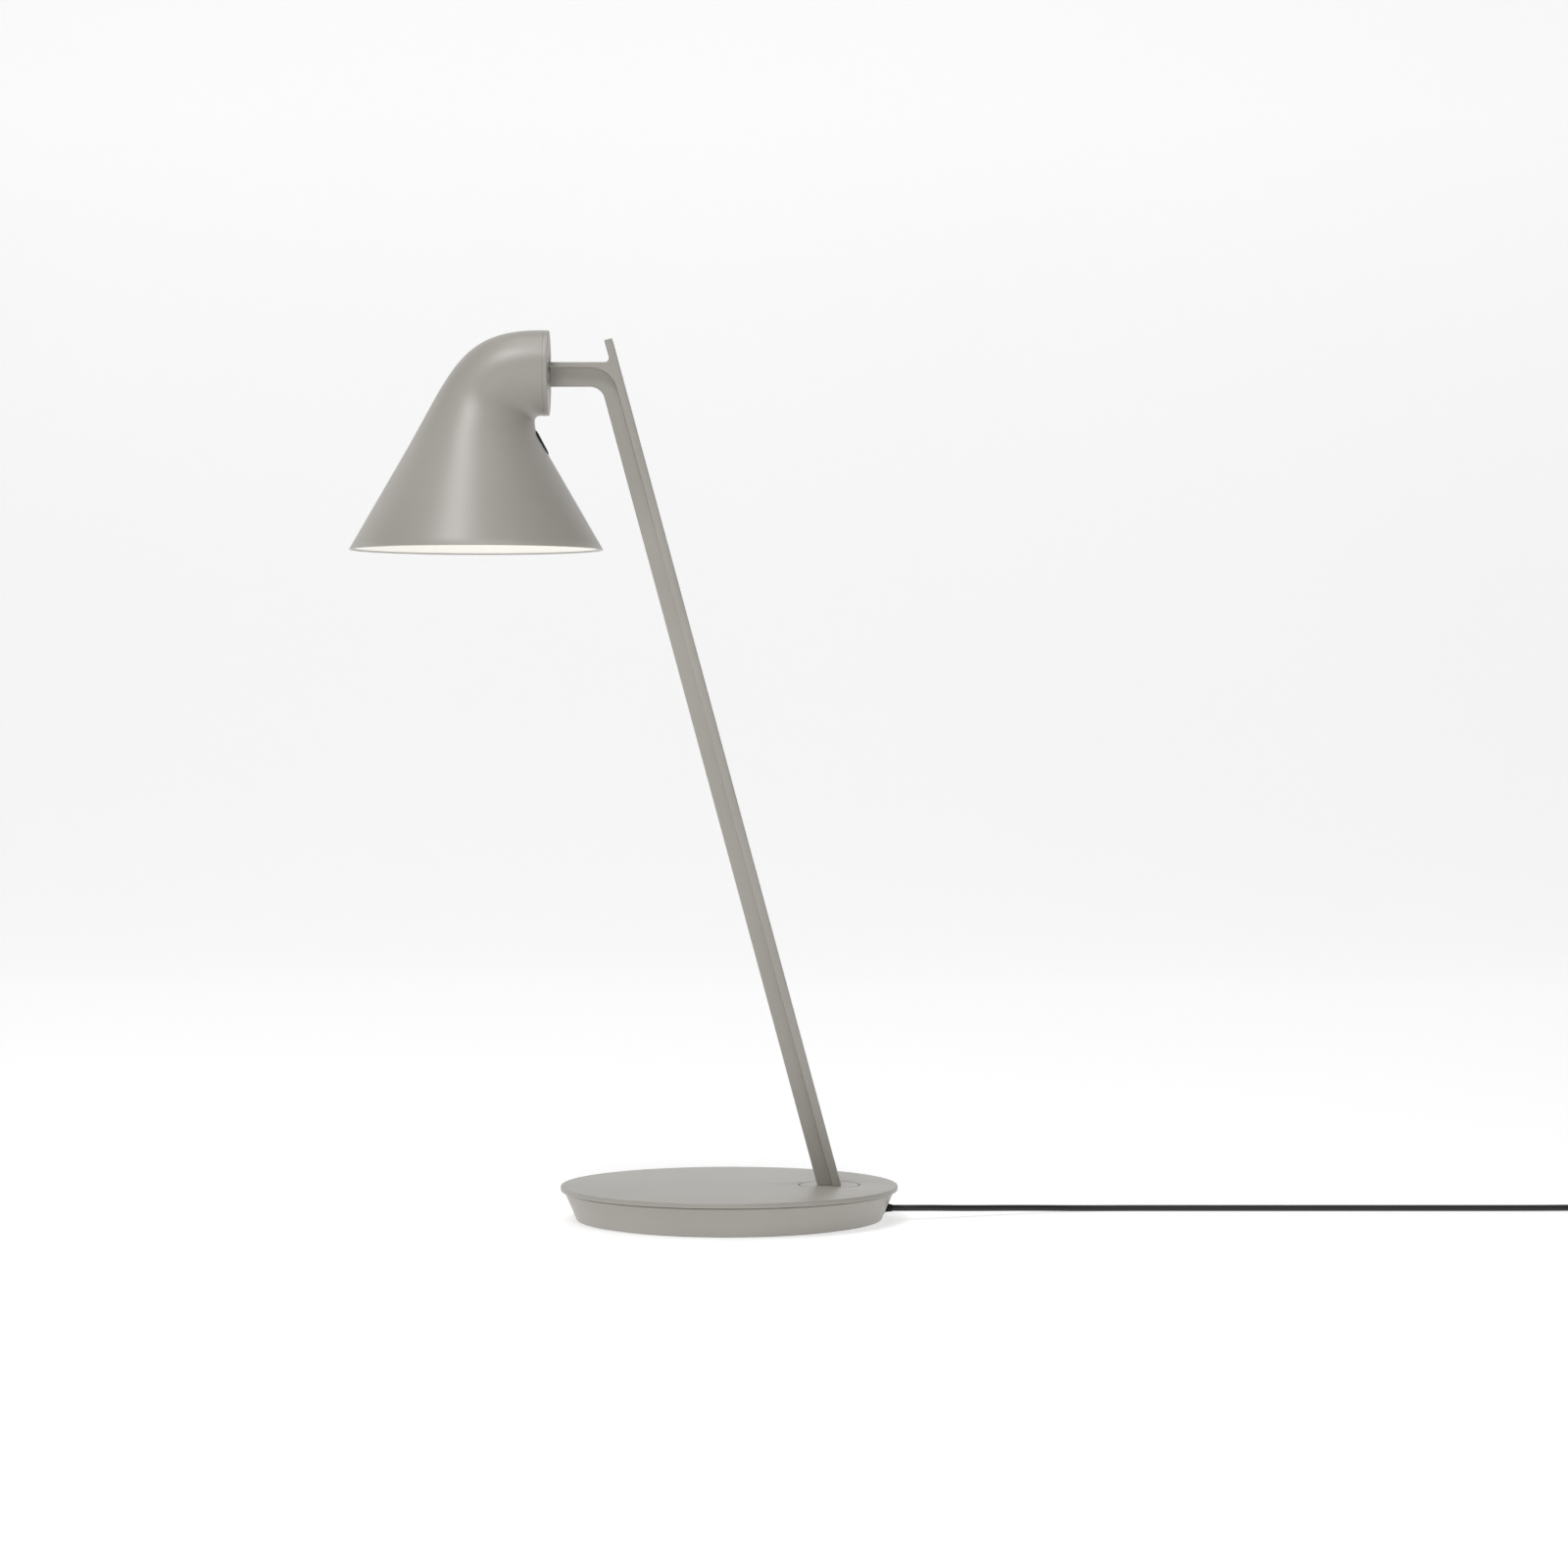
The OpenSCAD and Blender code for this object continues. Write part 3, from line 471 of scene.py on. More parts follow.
# ---- Top plate ----
# A turned aluminium plate, painted like the shell, with four tapped bosses
# under it. Its edge overhangs the shell and is slightly rounded.
top_low, top_high = extent("top_plate")
swivel_low, swivel_high = extent("swivel_disc")
swivel_x = (swivel_low.x + swivel_high.x) / 2
disc_r = (swivel_high.x - swivel_low.x) / 2
seam_gap = 0.6
boss_r = 4
tapped_r = 2
tapped_top = 13.4
top_plate = turned("top_plate_turned", rounded([
    (0, plate_low), (top_high.x, plate_low, 0.35), (top_high.x, top_high.z, 0.5), (0, top_high.z)
], closed=False), sides=320)
for a in screw_angles:
    spot = (screw_ring * math.cos(a), screw_ring * math.sin(a), 0)
    worked(top_plate, "UNION", turned("boss", rounded([
        (0, top_low.z), (boss_r, top_low.z, 0.3), (boss_r, plate_low + 0.5), (0, plate_low + 0.5)
    ], closed=False), spot, sides=64))
    worked(top_plate, "DIFFERENCE", round_bar(tapped_r, top_low.z - 1, tapped_top, spot, sides=48))
worked(top_plate, "DIFFERENCE", round_bar(
    disc_r + seam_gap, plate_low - 1, top_high.z + 1, (swivel_x, 0, 0), sides=192
))
eased(top_plate, 0.12, 2, 60)
done(top_plate, paint, "warm_grey_paint", "foot", "top_plate")

# ---- Lead sleeve, clamp and inner lead ----
# A soft rubber sleeve grips the lead where it passes the shell. Inside,
# a moulded saddle holds the lead, which goes on to the swivel as a thin one.
pvc, lay, place = finish("black PVC sheath", {"Specular IOR Level": 0.5})
sheen = place.noise(700, 3)
lay(
    Base_Color=place.noise(40, 3).tints(tint(30, 30, 31), tint(42, 42, 43)),
    Roughness=0.42 + 0.16 * sheen,
    Normal=(sheen + 0.4 * place.noise(2600)).relief(0.00002, 0.5),
)

moulded, lay, place = finish("black moulded plastic", {"Specular IOR Level": 0.5})
spark = place.cells(2400)
lay(
    Base_Color=place.noise(50, 3).tints(tint(27, 27, 28), tint(36, 36, 37)),
    Roughness=0.48 + 0.14 * place.noise(1200, 3),
    Normal=(1 - spark).relief(0.00004, 0.4),
)

cord_r = 1.5
exit_x = extent("cord_grommet")[1].x
collar_x = 66.6
collar_end = 68.2
collar_r = 4.4
body_r = 2.9
face_x = 74.7
sleeve = turned("lead_sleeve", rounded([
    (0, collar_x), (collar_r, collar_x, 0.3), (collar_r, collar_end, 0.3), (body_r, collar_end),
    (body_r, face_x, 0.25), (2, face_x + 0.1, 0.2), (cord_r + 0.15, exit_x), (0, exit_x)
], closed=False), (0, 0, exit_z), "X", 64)
# The sleeve's outer face follows the taper of the shell.
shell_taper = (top_r - low_r) / (plate_low - shell_low.z)
for vertex in sleeve.data.vertices:
    if abs(vertex.co.x / mm - face_x) < 0.75:
        vertex.co.x += (vertex.co.z - exit_z * mm) * shell_taper
# The collar is flat below, where it stands on the cover sheet.
collar_flat_z = 2.42
worked(sleeve, "DIFFERENCE", plate("floor", [(66, -5), (69, -5), (69, 5), (66, 5)], -2, collar_flat_z))
done(sleeve, rubber, "black_rubber", "foot", "cord_grommet")
keep(moulded, "cord_clamp")
keep(pvc, "base_lead", "stem_lead", "head_lead")

# ---- Lead ----
# A round two-core PVC lead, 3 mm thick and 1.8 m long. It drops to the desk
# and runs off behind the lamp, and its spare length is wound into a coil.
coil_low, coil_high = extent("cord_coil")
coil_x = (coil_low.x + coil_high.x) / 2
coil_y = (coil_low.y + coil_high.y) / 2
coil_pitch = 3.15
coil_columns = 3
outer_turn_r = (coil_high.x - coil_low.x) / 2 - cord_r
first_turn_z = coil_low.z + cord_r
turns = 13.25
per_turn = 24
row_turns = 3.4

route = [
    (exit_x, 0, exit_z), (84, 0, 5.5), (90, 1, 5.4), (98, 3.5, 5.1), (108, 8, 4.5), (120, 14, 3.8),
    (133, 20.5, 3.1), (147, 26.5, 2.4), (161, 31, 1.8), (176, 33.5, 1.5), (200, 34, 1.5),
    (240, 34, 1.5), (285, 34, 1.5), (330, 34, 1.5), (370, 34, 1.5), (400, 34, 1.6),
    (418, 34, 1.9), (430.5, 34, 2.1)
]
tail_route = [
    (463.5, 1, 11.5), (463.5, -4, 11.7), (463.5, -8, 12.3), (463.5, -11, 12.8), (463.5, -13, 13),
    (463.5, -14, 13), (463.5, -24, 13), (463.5, -34, 13), (463.5, -58, 13)
]


def coil_point(turn):
    """A point of the coil: rows climb, and the turns of each row go in or out."""
    row = int(turn / row_turns)
    across = turn - row * row_turns
    rise = max(0, across - coil_columns) / (row_turns - coil_columns)
    swing = 0.2 * math.sin(math.pi * rise)
    column = min(across, coil_columns) + swing
    if row % 2:
        column = coil_columns - column
    height = row + rise * rise * (3 - 2 * rise)
    r = outer_turn_r - coil_pitch * column
    angle = math.radians(90) - math.tau * turn
    return (
        coil_x + r * math.cos(angle), coil_y + r * math.sin(angle), first_turn_z + coil_pitch * height
    )


def flowing(points, step):
    """A smooth line through the points, with a new one about every step."""
    line = []
    for i in range(len(points) - 1):
        a, b, c, d = (Vector(points[max(0, min(k, len(points) - 1))]) for k in range(i - 1, i + 3))
        count = max(1, round((c - b).length / step))
        for k in range(count):
            t = k / count
            line.append(0.5 * (
                2 * b + (c - a) * t + (2 * a - 5 * b + 4 * c - d) * t ** 2
                + (3 * b - a - 3 * c + d) * t ** 3
            ))
    return line + [Vector(points[-1])]


def tube(name, line, r, sides=16):
    """A round tube along a line, with rings that don't twist and closed ends."""
    points = []
    faces = []
    side = None
    for i, here in enumerate(line):
        way = (line[min(i + 1, len(line) - 1)] - line[max(i - 1, 0)]).normalized()
        if side is None:
            side = way.orthogonal().normalized()
        side = (side - way * side.dot(way)).normalized()
        other = way.cross(side)
        turns = [math.tau * k / sides for k in range(sides)]
        points += [here + r * (math.cos(t) * side + math.sin(t) * other) for t in turns]
    for i in range(len(line) - 1):
        for k in range(sides):
            n = (k + 1) % sides
            faces.append([i * sides + k, i * sides + n, (i + 1) * sides + n, (i + 1) * sides + k])
    last = (len(line) - 1) * sides
    faces += [list(range(sides)), list(range(last, last + sides))]
    return part(name, points, faces)


coil = [coil_point(k / per_turn) for k in range(int(turns * per_turn) + 1)]
line = flowing(route + coil + tail_route, 2.5)
length = sum((b - a).length for a, b in zip(line, line[1:])) * mm
lead = done(tube("lead", line, cord_r), pvc, "lead_sheath", "foot", "cord", "cord_coil", "cord_tail")

# ---- Tie ----
# A woven hook-and-loop strap round the coil's bundle, 5 mm wide, with its end
# laid over itself on the outside.
woven, lay, place = finish("woven strap", {"Sheen Weight": 0.4, "Sheen Roughness": 0.5})
weave = place.node("ShaderNodeTexBrick", {"offset": 0.5}, {
    "Vector": place, "Scale": 900.0, "Color1": (1, 1, 1, 1), "Color2": (0.7, 0.7, 0.7, 1),
    "Mortar": (0, 0, 0, 1), "Mortar Size": 0.12, "Brick Width": 0.6, "Row Height": 0.35
}, 1)
lay(
    Base_Color=(0.6 * place.noise(1200, 4) + 0.4 * weave).tints(tint(24, 24, 26), tint(52, 52, 55)),
    Roughness=0.85 + 0.1 * place.noise(300),
    Normal=(place.noise(2400, 4) - weave).relief(0.00012, 0.8),
)
tie_low, tie_high = extent("cord_tie")
band = 0.5
soft_corner = 3.0


def tie_loop(inset):
    return rounded([
        (tie_low.x + inset, tie_low.z + inset, soft_corner - inset),
        (tie_high.x - inset, tie_low.z + inset, soft_corner - inset),
        (tie_high.x - inset, tie_high.z - inset, soft_corner - inset),
        (tie_low.x + inset, tie_high.z - inset, soft_corner - inset)
    ], steps=10)


standing = Matrix.Rotation(math.radians(90), 4, "X")
tie = plate("hook_and_loop_tie", tie_loop(0), -tie_high.y, -tie_low.y, standing)
worked(tie, "DIFFERENCE", plate("inside", tie_loop(band), -tie_high.y - 1, -tie_low.y + 1, standing))
flap_from = tie_low.x + 3.4
flap_to = tie_high.x - 3.2
flap = [
    (flap_from, tie_high.z - 0.05), (flap_from, tie_high.z + band, 0.25),
    (flap_to, tie_high.z + band, 0.25), (flap_to, tie_high.z - 0.05)
]
worked(tie, "UNION", plate("flap", rounded(flap), -tie_high.y + 0.2, -tie_low.y - 0.2, standing))
eased(tie, 0.12)
done(tie, woven, "tie_fabric", "foot", "cord_tie")

# ---- Driver ----
# A plug-in driver in a black moulded housing with a welded lid. Its board is
# inside, the lead enters by a ribbed relief, and two sleeved pins stand out.
relief_low, relief_high = extent("adapter_relief")
driver_low, driver_high = extent("adapter_housing")
driver_x = (driver_low.x + driver_high.x) / 2
driver_y = (driver_low.y + driver_high.y) / 2
lid_low, lid_high = extent("adapter_lid")
entry_z = (relief_low.z + relief_high.z) / 2
relief_l = relief_high.y - driver_high.y
relief_tip_r = cord_r + 0.25
relief_root_r = 3.4
rib_count = 9
rib_pitch = (relief_l - 1.4) / rib_count
rib_share = 0.62
rib_depth = 0.45
rib_slant = 0.08


def cone_at(along):
    return relief_tip_r + (relief_root_r - relief_tip_r) * min(1, along / (relief_l - 2))


outline = [(0, 0), (cone_at(0) - 0.1, 0)]
for k in range(rib_count):
    near = 0.6 + k * rib_pitch
    far = near + rib_share * rib_pitch
    outline += [
        (cone_at(near), near), (cone_at(far), far), (cone_at(far) - rib_depth, far + rib_slant),
        (cone_at(far) - rib_depth, near + rib_pitch - rib_slant)
    ]
inside_l = relief_l + 2
outline += [(relief_root_r, relief_l - 0.6), (relief_root_r, inside_l), (0, inside_l)]
relief_sleeve = turned("ribbed_relief", outline, (driver_x, relief_high.y, entry_z), "-Y", 64)
done(relief_sleeve, pvc, "lead_sheath", "foot", "adapter_relief")


def driver_outline(inset):
    half_x = (driver_high.x - driver_low.x) / 2 - inset
    half_y = (driver_high.y - driver_low.y) / 2 - inset
    return rounded([
        (driver_x + a * half_x, driver_y + b * half_y, 4 - inset)
        for a, b in ((-1, -1), (1, -1), (1, 1), (-1, 1))
    ], steps=12)


housing = plate("driver_housing", driver_outline(0), driver_low.z, driver_high.z)
eased(housing, 0.8, 4)
housing_wall = 2
hollow = plate("hollow", driver_outline(housing_wall), housing_wall, driver_high.z + 1)
worked(housing, "DIFFERENCE", hollow)
worked(housing, "DIFFERENCE", round_bar(relief_root_r, 28, 36, (driver_x, 0, entry_z), "-Y"))
grip_count = 7
grip_from = driver_low.y + 8
grip_pitch = 2.2
grip_half = 0.5
grip_low = 5
grip_high = 20
for k in range(grip_count):
    y = grip_from + grip_pitch * k
    for x in (driver_low.x, driver_high.x):
        worked(housing, "DIFFERENCE", plate("grip", rounded([
            (x + a * grip_half, y + b * grip_half, 0.3) for a, b in ((-1, -1), (1, -1), (1, 1), (-1, 1))
        ], steps=2), grip_low, grip_high))
done(housing, moulded, "black_plastic", "foot", "adapter_housing")

lid = plate("driver_lid", driver_outline(0), lid_low.z + 0.15, lid_high.z)
eased(lid, 0.7, 4)
worked(lid, "UNION", plate("joint", driver_outline(0.5), lid_low.z, lid_low.z + 0.6))
done(lid, moulded, "black_plastic", "foot", "adapter_lid")

nickel, lay, place = finish("nickel-plated brass", {"Metallic": 1.0})
lay(
    Base_Color=place.noise(80, 3).tints(tint(196, 192, 182), tint(214, 211, 203)),
    Roughness=0.2 + 0.12 * place.noise(900, 3),
    Normal=place.noise(2000, 3).relief(0.00001, 0.4),
)
pins_low, pins_high = extent("plug_pins")
pin_r = 2
pin_l = driver_low.y - pins_low.y
pin_root_r = 1.5
pin_root_l = 4
neck_from = 0.6
sleeve_l = 9.5
sleeve_t = 0.25
bare_from = sleeve_l + 0.1
outline = rounded([
    (0, -pin_root_l), (pin_root_r, -pin_root_l), (pin_root_r, neck_from), (pin_r - sleeve_t, neck_from),
    (pin_r - sleeve_t, bare_from), (pin_r, bare_from, 0.1), (pin_r, pin_l, 1.6), (0, pin_l)
], closed=False, steps=8)
pins = []
sleeves = []
for x in (pins_low.x + pin_r, pins_high.x - pin_r):
    root = (x, driver_low.y, entry_z)
    pins.append(turned("pin", outline, root, "-Y", 48))
    sleeves.append(turned("pin_sleeve", rounded([
        (pin_r - sleeve_t + 0.01, 0.02), (pin_r, 0.02, 0.1), (pin_r, sleeve_l, 0.2),
        (pin_r - sleeve_t + 0.01, sleeve_l)
    ]), root, "-Y", 48, True))


def gathered(name, pieces):
    """Several meshes as one piece."""
    whole = bmesh.new()
    for piece in pieces:
        whole.from_mesh(piece.data)
        bpy.data.objects.remove(piece)
    mesh = bpy.data.meshes.new(name)
    whole.to_mesh(mesh)
    whole.free()
    made = bpy.data.objects.new(name, mesh)
    bpy.context.scene.collection.objects.link(made)
    return made


plug = done(gathered("sleeved_plug_pins", pins), nickel, "nickel_pins", "foot", "plug_pins")
pin_sleeves = done(gathered("pin_sleeves", sleeves), moulded, "black_plastic", "foot")

board_green, lay, place = finish("circuit board", {"Coat Weight": 0.3, "Coat Roughness": 0.2})
tracks = place.cells(600, "DISTANCE_TO_EDGE").step(0.05, 0.12)
lay(
    Base_Color=tracks.tints(tint(40, 96, 60), tint(22, 66, 40)),
    Roughness=0.35 + 0.15 * place.noise(400),
    Normal=tracks.relief(0.00003, 0.5),
)
keep(board_green, "adapter_board", "switch_board")
[p * mm for p in line]

# ---- Swivel disc ----
# A painted disc, flush in the top plate, turned in one piece with its hollow
# shaft. The stem stands on it, and its lead slants up through it.
shaft_r = 6
shaft_bore = 2.6
bore_top = 12.4
swivel = turned("swivel_disc_turned", rounded([
    (shaft_bore, swivel_low.z), (shaft_r, swivel_low.z, 0.3), (shaft_r, plate_low),
    (disc_r, plate_low, 0.2), (disc_r, swivel_high.z, 0.15), (0, swivel_high.z), (0, bore_top),
    (shaft_bore, bore_top)
], closed=False) + [Vector((shaft_bore, swivel_low.z))], (swivel_x, 0, 0), sides=192)
bend_spot = Vector((swivel_x - 0.4, 0, 9)) * mm
tilt = Matrix.Translation(bend_spot) @ Matrix.Rotation(math.radians(27), 4, "Y")
slanted = round_bar(1.3, 0, 12, sides=32)
slanted.data.transform(tilt)
worked(swivel, "DIFFERENCE", slanted)
done(swivel, paint, "warm_grey_paint", "stem", "swivel_disc")

# ---- Stem and arm ----
# One aluminium casting with a T section: a wide flange behind and a narrow rib
# in front. It leans forward, bends into the level arm, and ends in a short stub.
stem_low, stem_high = extent("stem_arm")
lean = math.radians(15.11)
slope = math.tan(lean)
foot_h = stem_low.z
rear_foot_x = stem_high.x
stem_depth = 11.2
flange_depth = 4.1
half_flange = (stem_high.y - stem_low.y) / 2
half_rib = 3
arm_low_z = 395.2
arm_top_z = 406.3
arm_mid_z = arm_top_z - 2.6
stub_depth = 3.9


def rear_x(z):
    return rear_foot_x - (z - foot_h) * slope


tip_x = rear_x(stem_high.z)
stub_end = (
    tip_x - stub_depth * math.cos(lean) ** 2, stem_high.z - stub_depth * math.sin(lean) * math.cos(lean)
)
upper = [
    (rear_foot_x, foot_h), (tip_x, stem_high.z), stub_end,
    (rear_x(arm_top_z) - stub_depth, arm_top_z, 2.0), (stem_low.x, arm_top_z)
]
flange_outline = rounded(upper + [
    (stem_low.x, arm_mid_z), (rear_x(arm_mid_z) - flange_depth, arm_mid_z, 13.5),
    (rear_foot_x - flange_depth, foot_h)
], steps=20)
whole_outline = rounded(upper + [
    (stem_low.x, arm_low_z), (rear_x(arm_low_z) - stem_depth, arm_low_z, 7.2),
    (rear_foot_x - stem_depth, foot_h)
], steps=20)
stem = plate("stem_and_arm", flange_outline, -half_flange, half_flange, standing)
worked(stem, "UNION", plate("rib", whole_outline, -half_rib, half_rib, standing))
eased(stem, 0.45, 3, 38)

groove_w = 6
groove_depth = 2.9
groove_top = 403.6
below = foot_h - 1
groove = [
    (rear_x(below) - groove_depth, below), (rear_x(below) + 1, below),
    (rear_x(groove_top) + 1, groove_top), (rear_x(groove_top) - groove_depth, groove_top)
]
worked(stem, "DIFFERENCE", plate("groove", groove, -groove_w / 2, groove_w / 2, standing))
spigot_low, spigot_high = extent("arm_spigot")
neck_z = (spigot_low.z + spigot_high.z) / 2
lead_bore_r = 1.9
spigot_seat_r = 2.2
worked(stem, "DIFFERENCE", round_bar(lead_bore_r, 50, 74, (0, 0, neck_z), "-X", 32))
worked(stem, "DIFFERENCE", round_bar(spigot_seat_r, 70, 90, (0, 0, neck_z), "-X", 32))
done(stem, paint, "warm_grey_paint", "stem", "stem_arm")

# ---- Stem cover ----
# A thin painted strip that snaps over the wire groove in the back of the stem.
cover_low, cover_high = (corner.z for corner in extent("stem_cover"))
cover_depth = 1.0
half_cover = groove_w / 2 - 0.05
strip = plate("stem_cover_strip", [
    (rear_x(cover_low) - cover_depth, cover_low), (rear_x(cover_low), cover_low),
    (rear_x(cover_high), cover_high), (rear_x(cover_high) - cover_depth, cover_high)
], -half_cover, half_cover, standing)
eased(strip, 0.15)
done(strip, paint, "warm_grey_paint", "stem", "stem_cover")

# ---- Bearing of the head ----
# A hollow steel journal pressed into the arm, with a stop washer and a nut. It
# turns in an acetal bush in the neck, held by a wave washer.
keep(zinc, "arm_spigot", "stop_washer", "spigot_nut", "wave_washer")
keep(acetal, "neck_bush")

# ---- Shade ----
# A spun and pressed aluminium shell, painted like the foot: a cone whose
# sections fan round the inside corner until they lie level as the neck.
cap_high = extent("neck_cap")[1]
shade_low = extent("shade")[0]
shade_x = -119.8
neck_r = cap_high.z - neck_z
cone_angle = math.radians(30)
cone_slant = math.tan(cone_angle)
apex_z = 422.1
wall = 1.3
bend_z = 361
corner_r = 2.5
corner = Vector((-89.6, neck_z - neck_r - corner_r))
waist_r = 18
cone_reach = 47
neck_reach = 38.5


def cone_r(z):
    return (apex_z - z) * cone_slant


def half_width(z, soft):
    """Half the width of a section; soft rounds the change from neck to cone."""
    more = cone_r(z) - neck_r
    return neck_r + (more + math.sqrt(more * more + soft * soft)) / 2


front = [
    Vector((shade_x - cone_r(bend_z), bend_z)),
    Vector((shade_x - cone_r(bend_z) + cone_reach * math.sin(cone_angle),
            bend_z + cone_reach * math.cos(cone_angle))),
    Vector((corner.x - neck_reach, neck_z + neck_r)),
    Vector((corner.x, neck_z + neck_r))
]


def front_curve(t):
    """The line of the bend's outer side, from the cone (0) to the neck (1)."""
    a, b, c, d = front
    return (1 - t) ** 3 * a + 3 * (1 - t) ** 2 * t * b + 3 * (1 - t) * t * t * c + t ** 3 * d


def front_t(z):
    low, high = 0, 1
    for _ in range(30):
        middle_t = (low + high) / 2
        low, high = (middle_t, high) if front_curve(middle_t).y < z else (low, middle_t)
    return low


def rear_edge(z):
    """Rear edge of a level section: the cone's side, or the waist below the neck."""
    if z > corner.y - waist_r * 0.5:
        return corner.x - corner_r + waist_r - math.sqrt(waist_r ** 2 - (corner.y - z) ** 2)
    return shade_x + cone_r(z)


def fan_section(t):
    """Section [inner point, outer point, half width, wall] through the inside corner."""
    outer = front_curve(t)
    way = (outer - corner).normalized()
    inner = corner + corner_r * way
    return [inner, outer, half_width((inner.y + outer.y) / 2, 3 * way.x ** 2), wall]


def level_section(z):
    """The same for a level section, in the cone and below the bend."""
    bent = max(0, (z - bend_z) / (corner.y - bend_z))
    front_x = front_curve(front_t(z)).x if z > bend_z else shade_x - cone_r(z)
    return [
        Vector((rear_edge(z), z)), Vector((front_x, z)),
        half_width(z, 3 * bent) if z > bend_z else cone_r(z),
        wall * (bent + (1 - bent) / math.cos(cone_angle))
    ]


bend_t = front_t(corner.y)
fan_count = 44
level_count = 26
cone_count = 12
cap_t = 2.2
seam_x = cap_high.x - cap_t
sections = [[Vector((seam_x, neck_z - neck_r)), Vector((seam_x, neck_z + neck_r)), neck_r, wall]]
sections += [fan_section(1 - (1 - bend_t) * i / fan_count) for i in range(fan_count + 1)]
sections += [
    level_section(corner.y + (bend_z - corner.y) * i / level_count) for i in range(1, level_count + 1)
]
sections += [
    level_section(bend_z + (shade_low.z - bend_z) * i / cone_count) for i in range(1, cone_count + 1)
]
shade_sides = 192


def section_ring(section, share, lift=0):
    """Ring of a section, inset by a share of the wall and lifted along Z."""
    inner, outer, half, thick = section
    way = (outer - inner).normalized()
    centre = (inner + outer) / 2
    a = (outer - inner).length / 2 - share * thick
    b = half - share * thick
    ring = []
    for k in range(shade_sides):
        c = math.tau * k / shade_sides
        spot = centre + a * math.cos(c) * way
        ring.append((spot.x, b * math.sin(c), spot.y + lift))
    return ring


lip = 0.35
rings = [section_ring(s, 0) for s in sections[:-1]]
rim = sections[-1]
rings.append(section_ring(level_section(rim[0].y + lip), 0))
rings += [
    section_ring(rim, 0.5 - 0.5 * math.cos(math.radians(a)) * 0.97, lip * (1 - math.sin(math.radians(a))))
    for a in range(15, 180, 15)
]
rings.append(section_ring(level_section(rim[0].y + lip), 1))
rings += [section_ring(s, 1) for s in reversed(sections[:-1])]
points = [p for ring in rings for p in ring]
faces = []
for i in range(len(rings)):
    low = i * shade_sides
    high = (i + 1) % len(rings) * shade_sides
    for k in range(shade_sides):
        n = (k + 1) % shade_sides
        faces.append([low + k, low + n, high + n, high + k])
shade = part("shade_shell", points, faces)

button_face = Vector((-88.2, 0, 369))
button_tilt = 28
in_button = Matrix.Translation(button_face * mm) @ Matrix.Rotation(math.radians(-90 - button_tilt), 4, "Y")
button_l = 13
button_w = 8
button_gap = 0.3


def stadium(length, width):
    """Outline with two round ends."""
    x, y = length / 2, width / 2
    return rounded([(-x, -y, y), (x, -y, y), (x, y, y), (-x, y, y)], steps=16)


slot_outline = stadium(button_l + 2 * button_gap, button_w + 2 * button_gap)
worked(shade, "DIFFERENCE", plate("slot", slot_outline, -3, 8, in_button))
done(shade, paint, "warm_grey_paint", "head", "shade")

# ---- Neck cap ----
# A turned ring that closes the neck and carries the bush, painted and pushed
# into the shell. Its seam shows as a fine line just before the end face.
back = -cap_high.x
seam = back + cap_t - 0.05
plug_r = neck_r - wall - 0.3
plug_end = back + 8
plug_wall = 3
bush_seat_r = 8
bush_boss_r = 11
boss_end = back + 11.5
cap = turned("neck_cap_turned", rounded([
    (bush_seat_r, back, 0.3), (neck_r, back, 0.3), (neck_r, seam, 0.12), (plug_r, seam),
    (plug_r, plug_end, 0.4), (plug_r - plug_wall, plug_end), (plug_r - plug_wall, back + cap_t),
    (bush_boss_r, back + cap_t), (bush_boss_r, boss_end), (bush_seat_r, boss_end)
]), (0, 0, neck_z), "-X", 256, True)
done(cap, paint, "warm_grey_paint", "head", "neck_cap")

# ---- Liner and diffuser ----
# A white spun liner inside the cone, with a ledge that carries the diffuser, a
# softly glowing opal acrylic disc.
white, lay, place = finish("white liner paint", {"Specular IOR Level": 0.4})
lay(
    Base_Color=place.noise(30, 3).tints(tint(238, 237, 231), tint(246, 245, 240)),
    Roughness=0.5 + 0.1 * place.noise(800, 3),
    Normal=place.noise(2400, 3).relief(0.00002, 0.4),
)
opal, lay, place = finish("opal acrylic", {
    "Subsurface Weight": 0.2, "Emission Strength": 2.6, "IOR": 1.49, "Roughness": 0.25
})
lay(
    Base_Color=place.noise(120).tints(tint(250, 249, 245), tint(253, 252, 249)),
    Emission_Color=place.noise(16, 3).tints(tint(255, 248, 234), tint(255, 250, 240)),
    Roughness=0.22 + 0.08 * place.noise(500),
)
liner_low = extent("reflector")[0]
liner_gap = wall / math.cos(cone_angle) + 0.35
liner_wall = 0.9
diffuser_low, diffuser_high = extent("diffuser")
ledge_z = diffuser_low.z
ledge_low = ledge_z - liner_wall
ledge_r = 32
diffuser_r = 34


def liner_r(z):
    return cone_r(z) - liner_gap


liner = turned("cone_liner", rounded([
    (liner_r(liner_low.z), liner_low.z, 0.3), (liner_r(ledge_z), ledge_z, 0.2), (ledge_r, ledge_z, 0.3),
    (ledge_r, ledge_low, 0.3), (liner_r(ledge_low) - liner_wall, ledge_low, 0.8),
    (liner_r(liner_low.z) - liner_wall, liner_low.z, 0.3)
]), (shade_x, 0, 0), sides=256, closed=True)
done(liner, white, "white_liner", "head", "reflector")
disc = turned("opal_disc", rounded([
    (0, ledge_z), (diffuser_r, ledge_z, 0.5), (diffuser_r, diffuser_high.z, 0.4), (0, diffuser_high.z)
], closed=False), (shade_x, 0, 0), sides=192)
done(disc, opal, "opal_diffuser", "head", "diffuser")

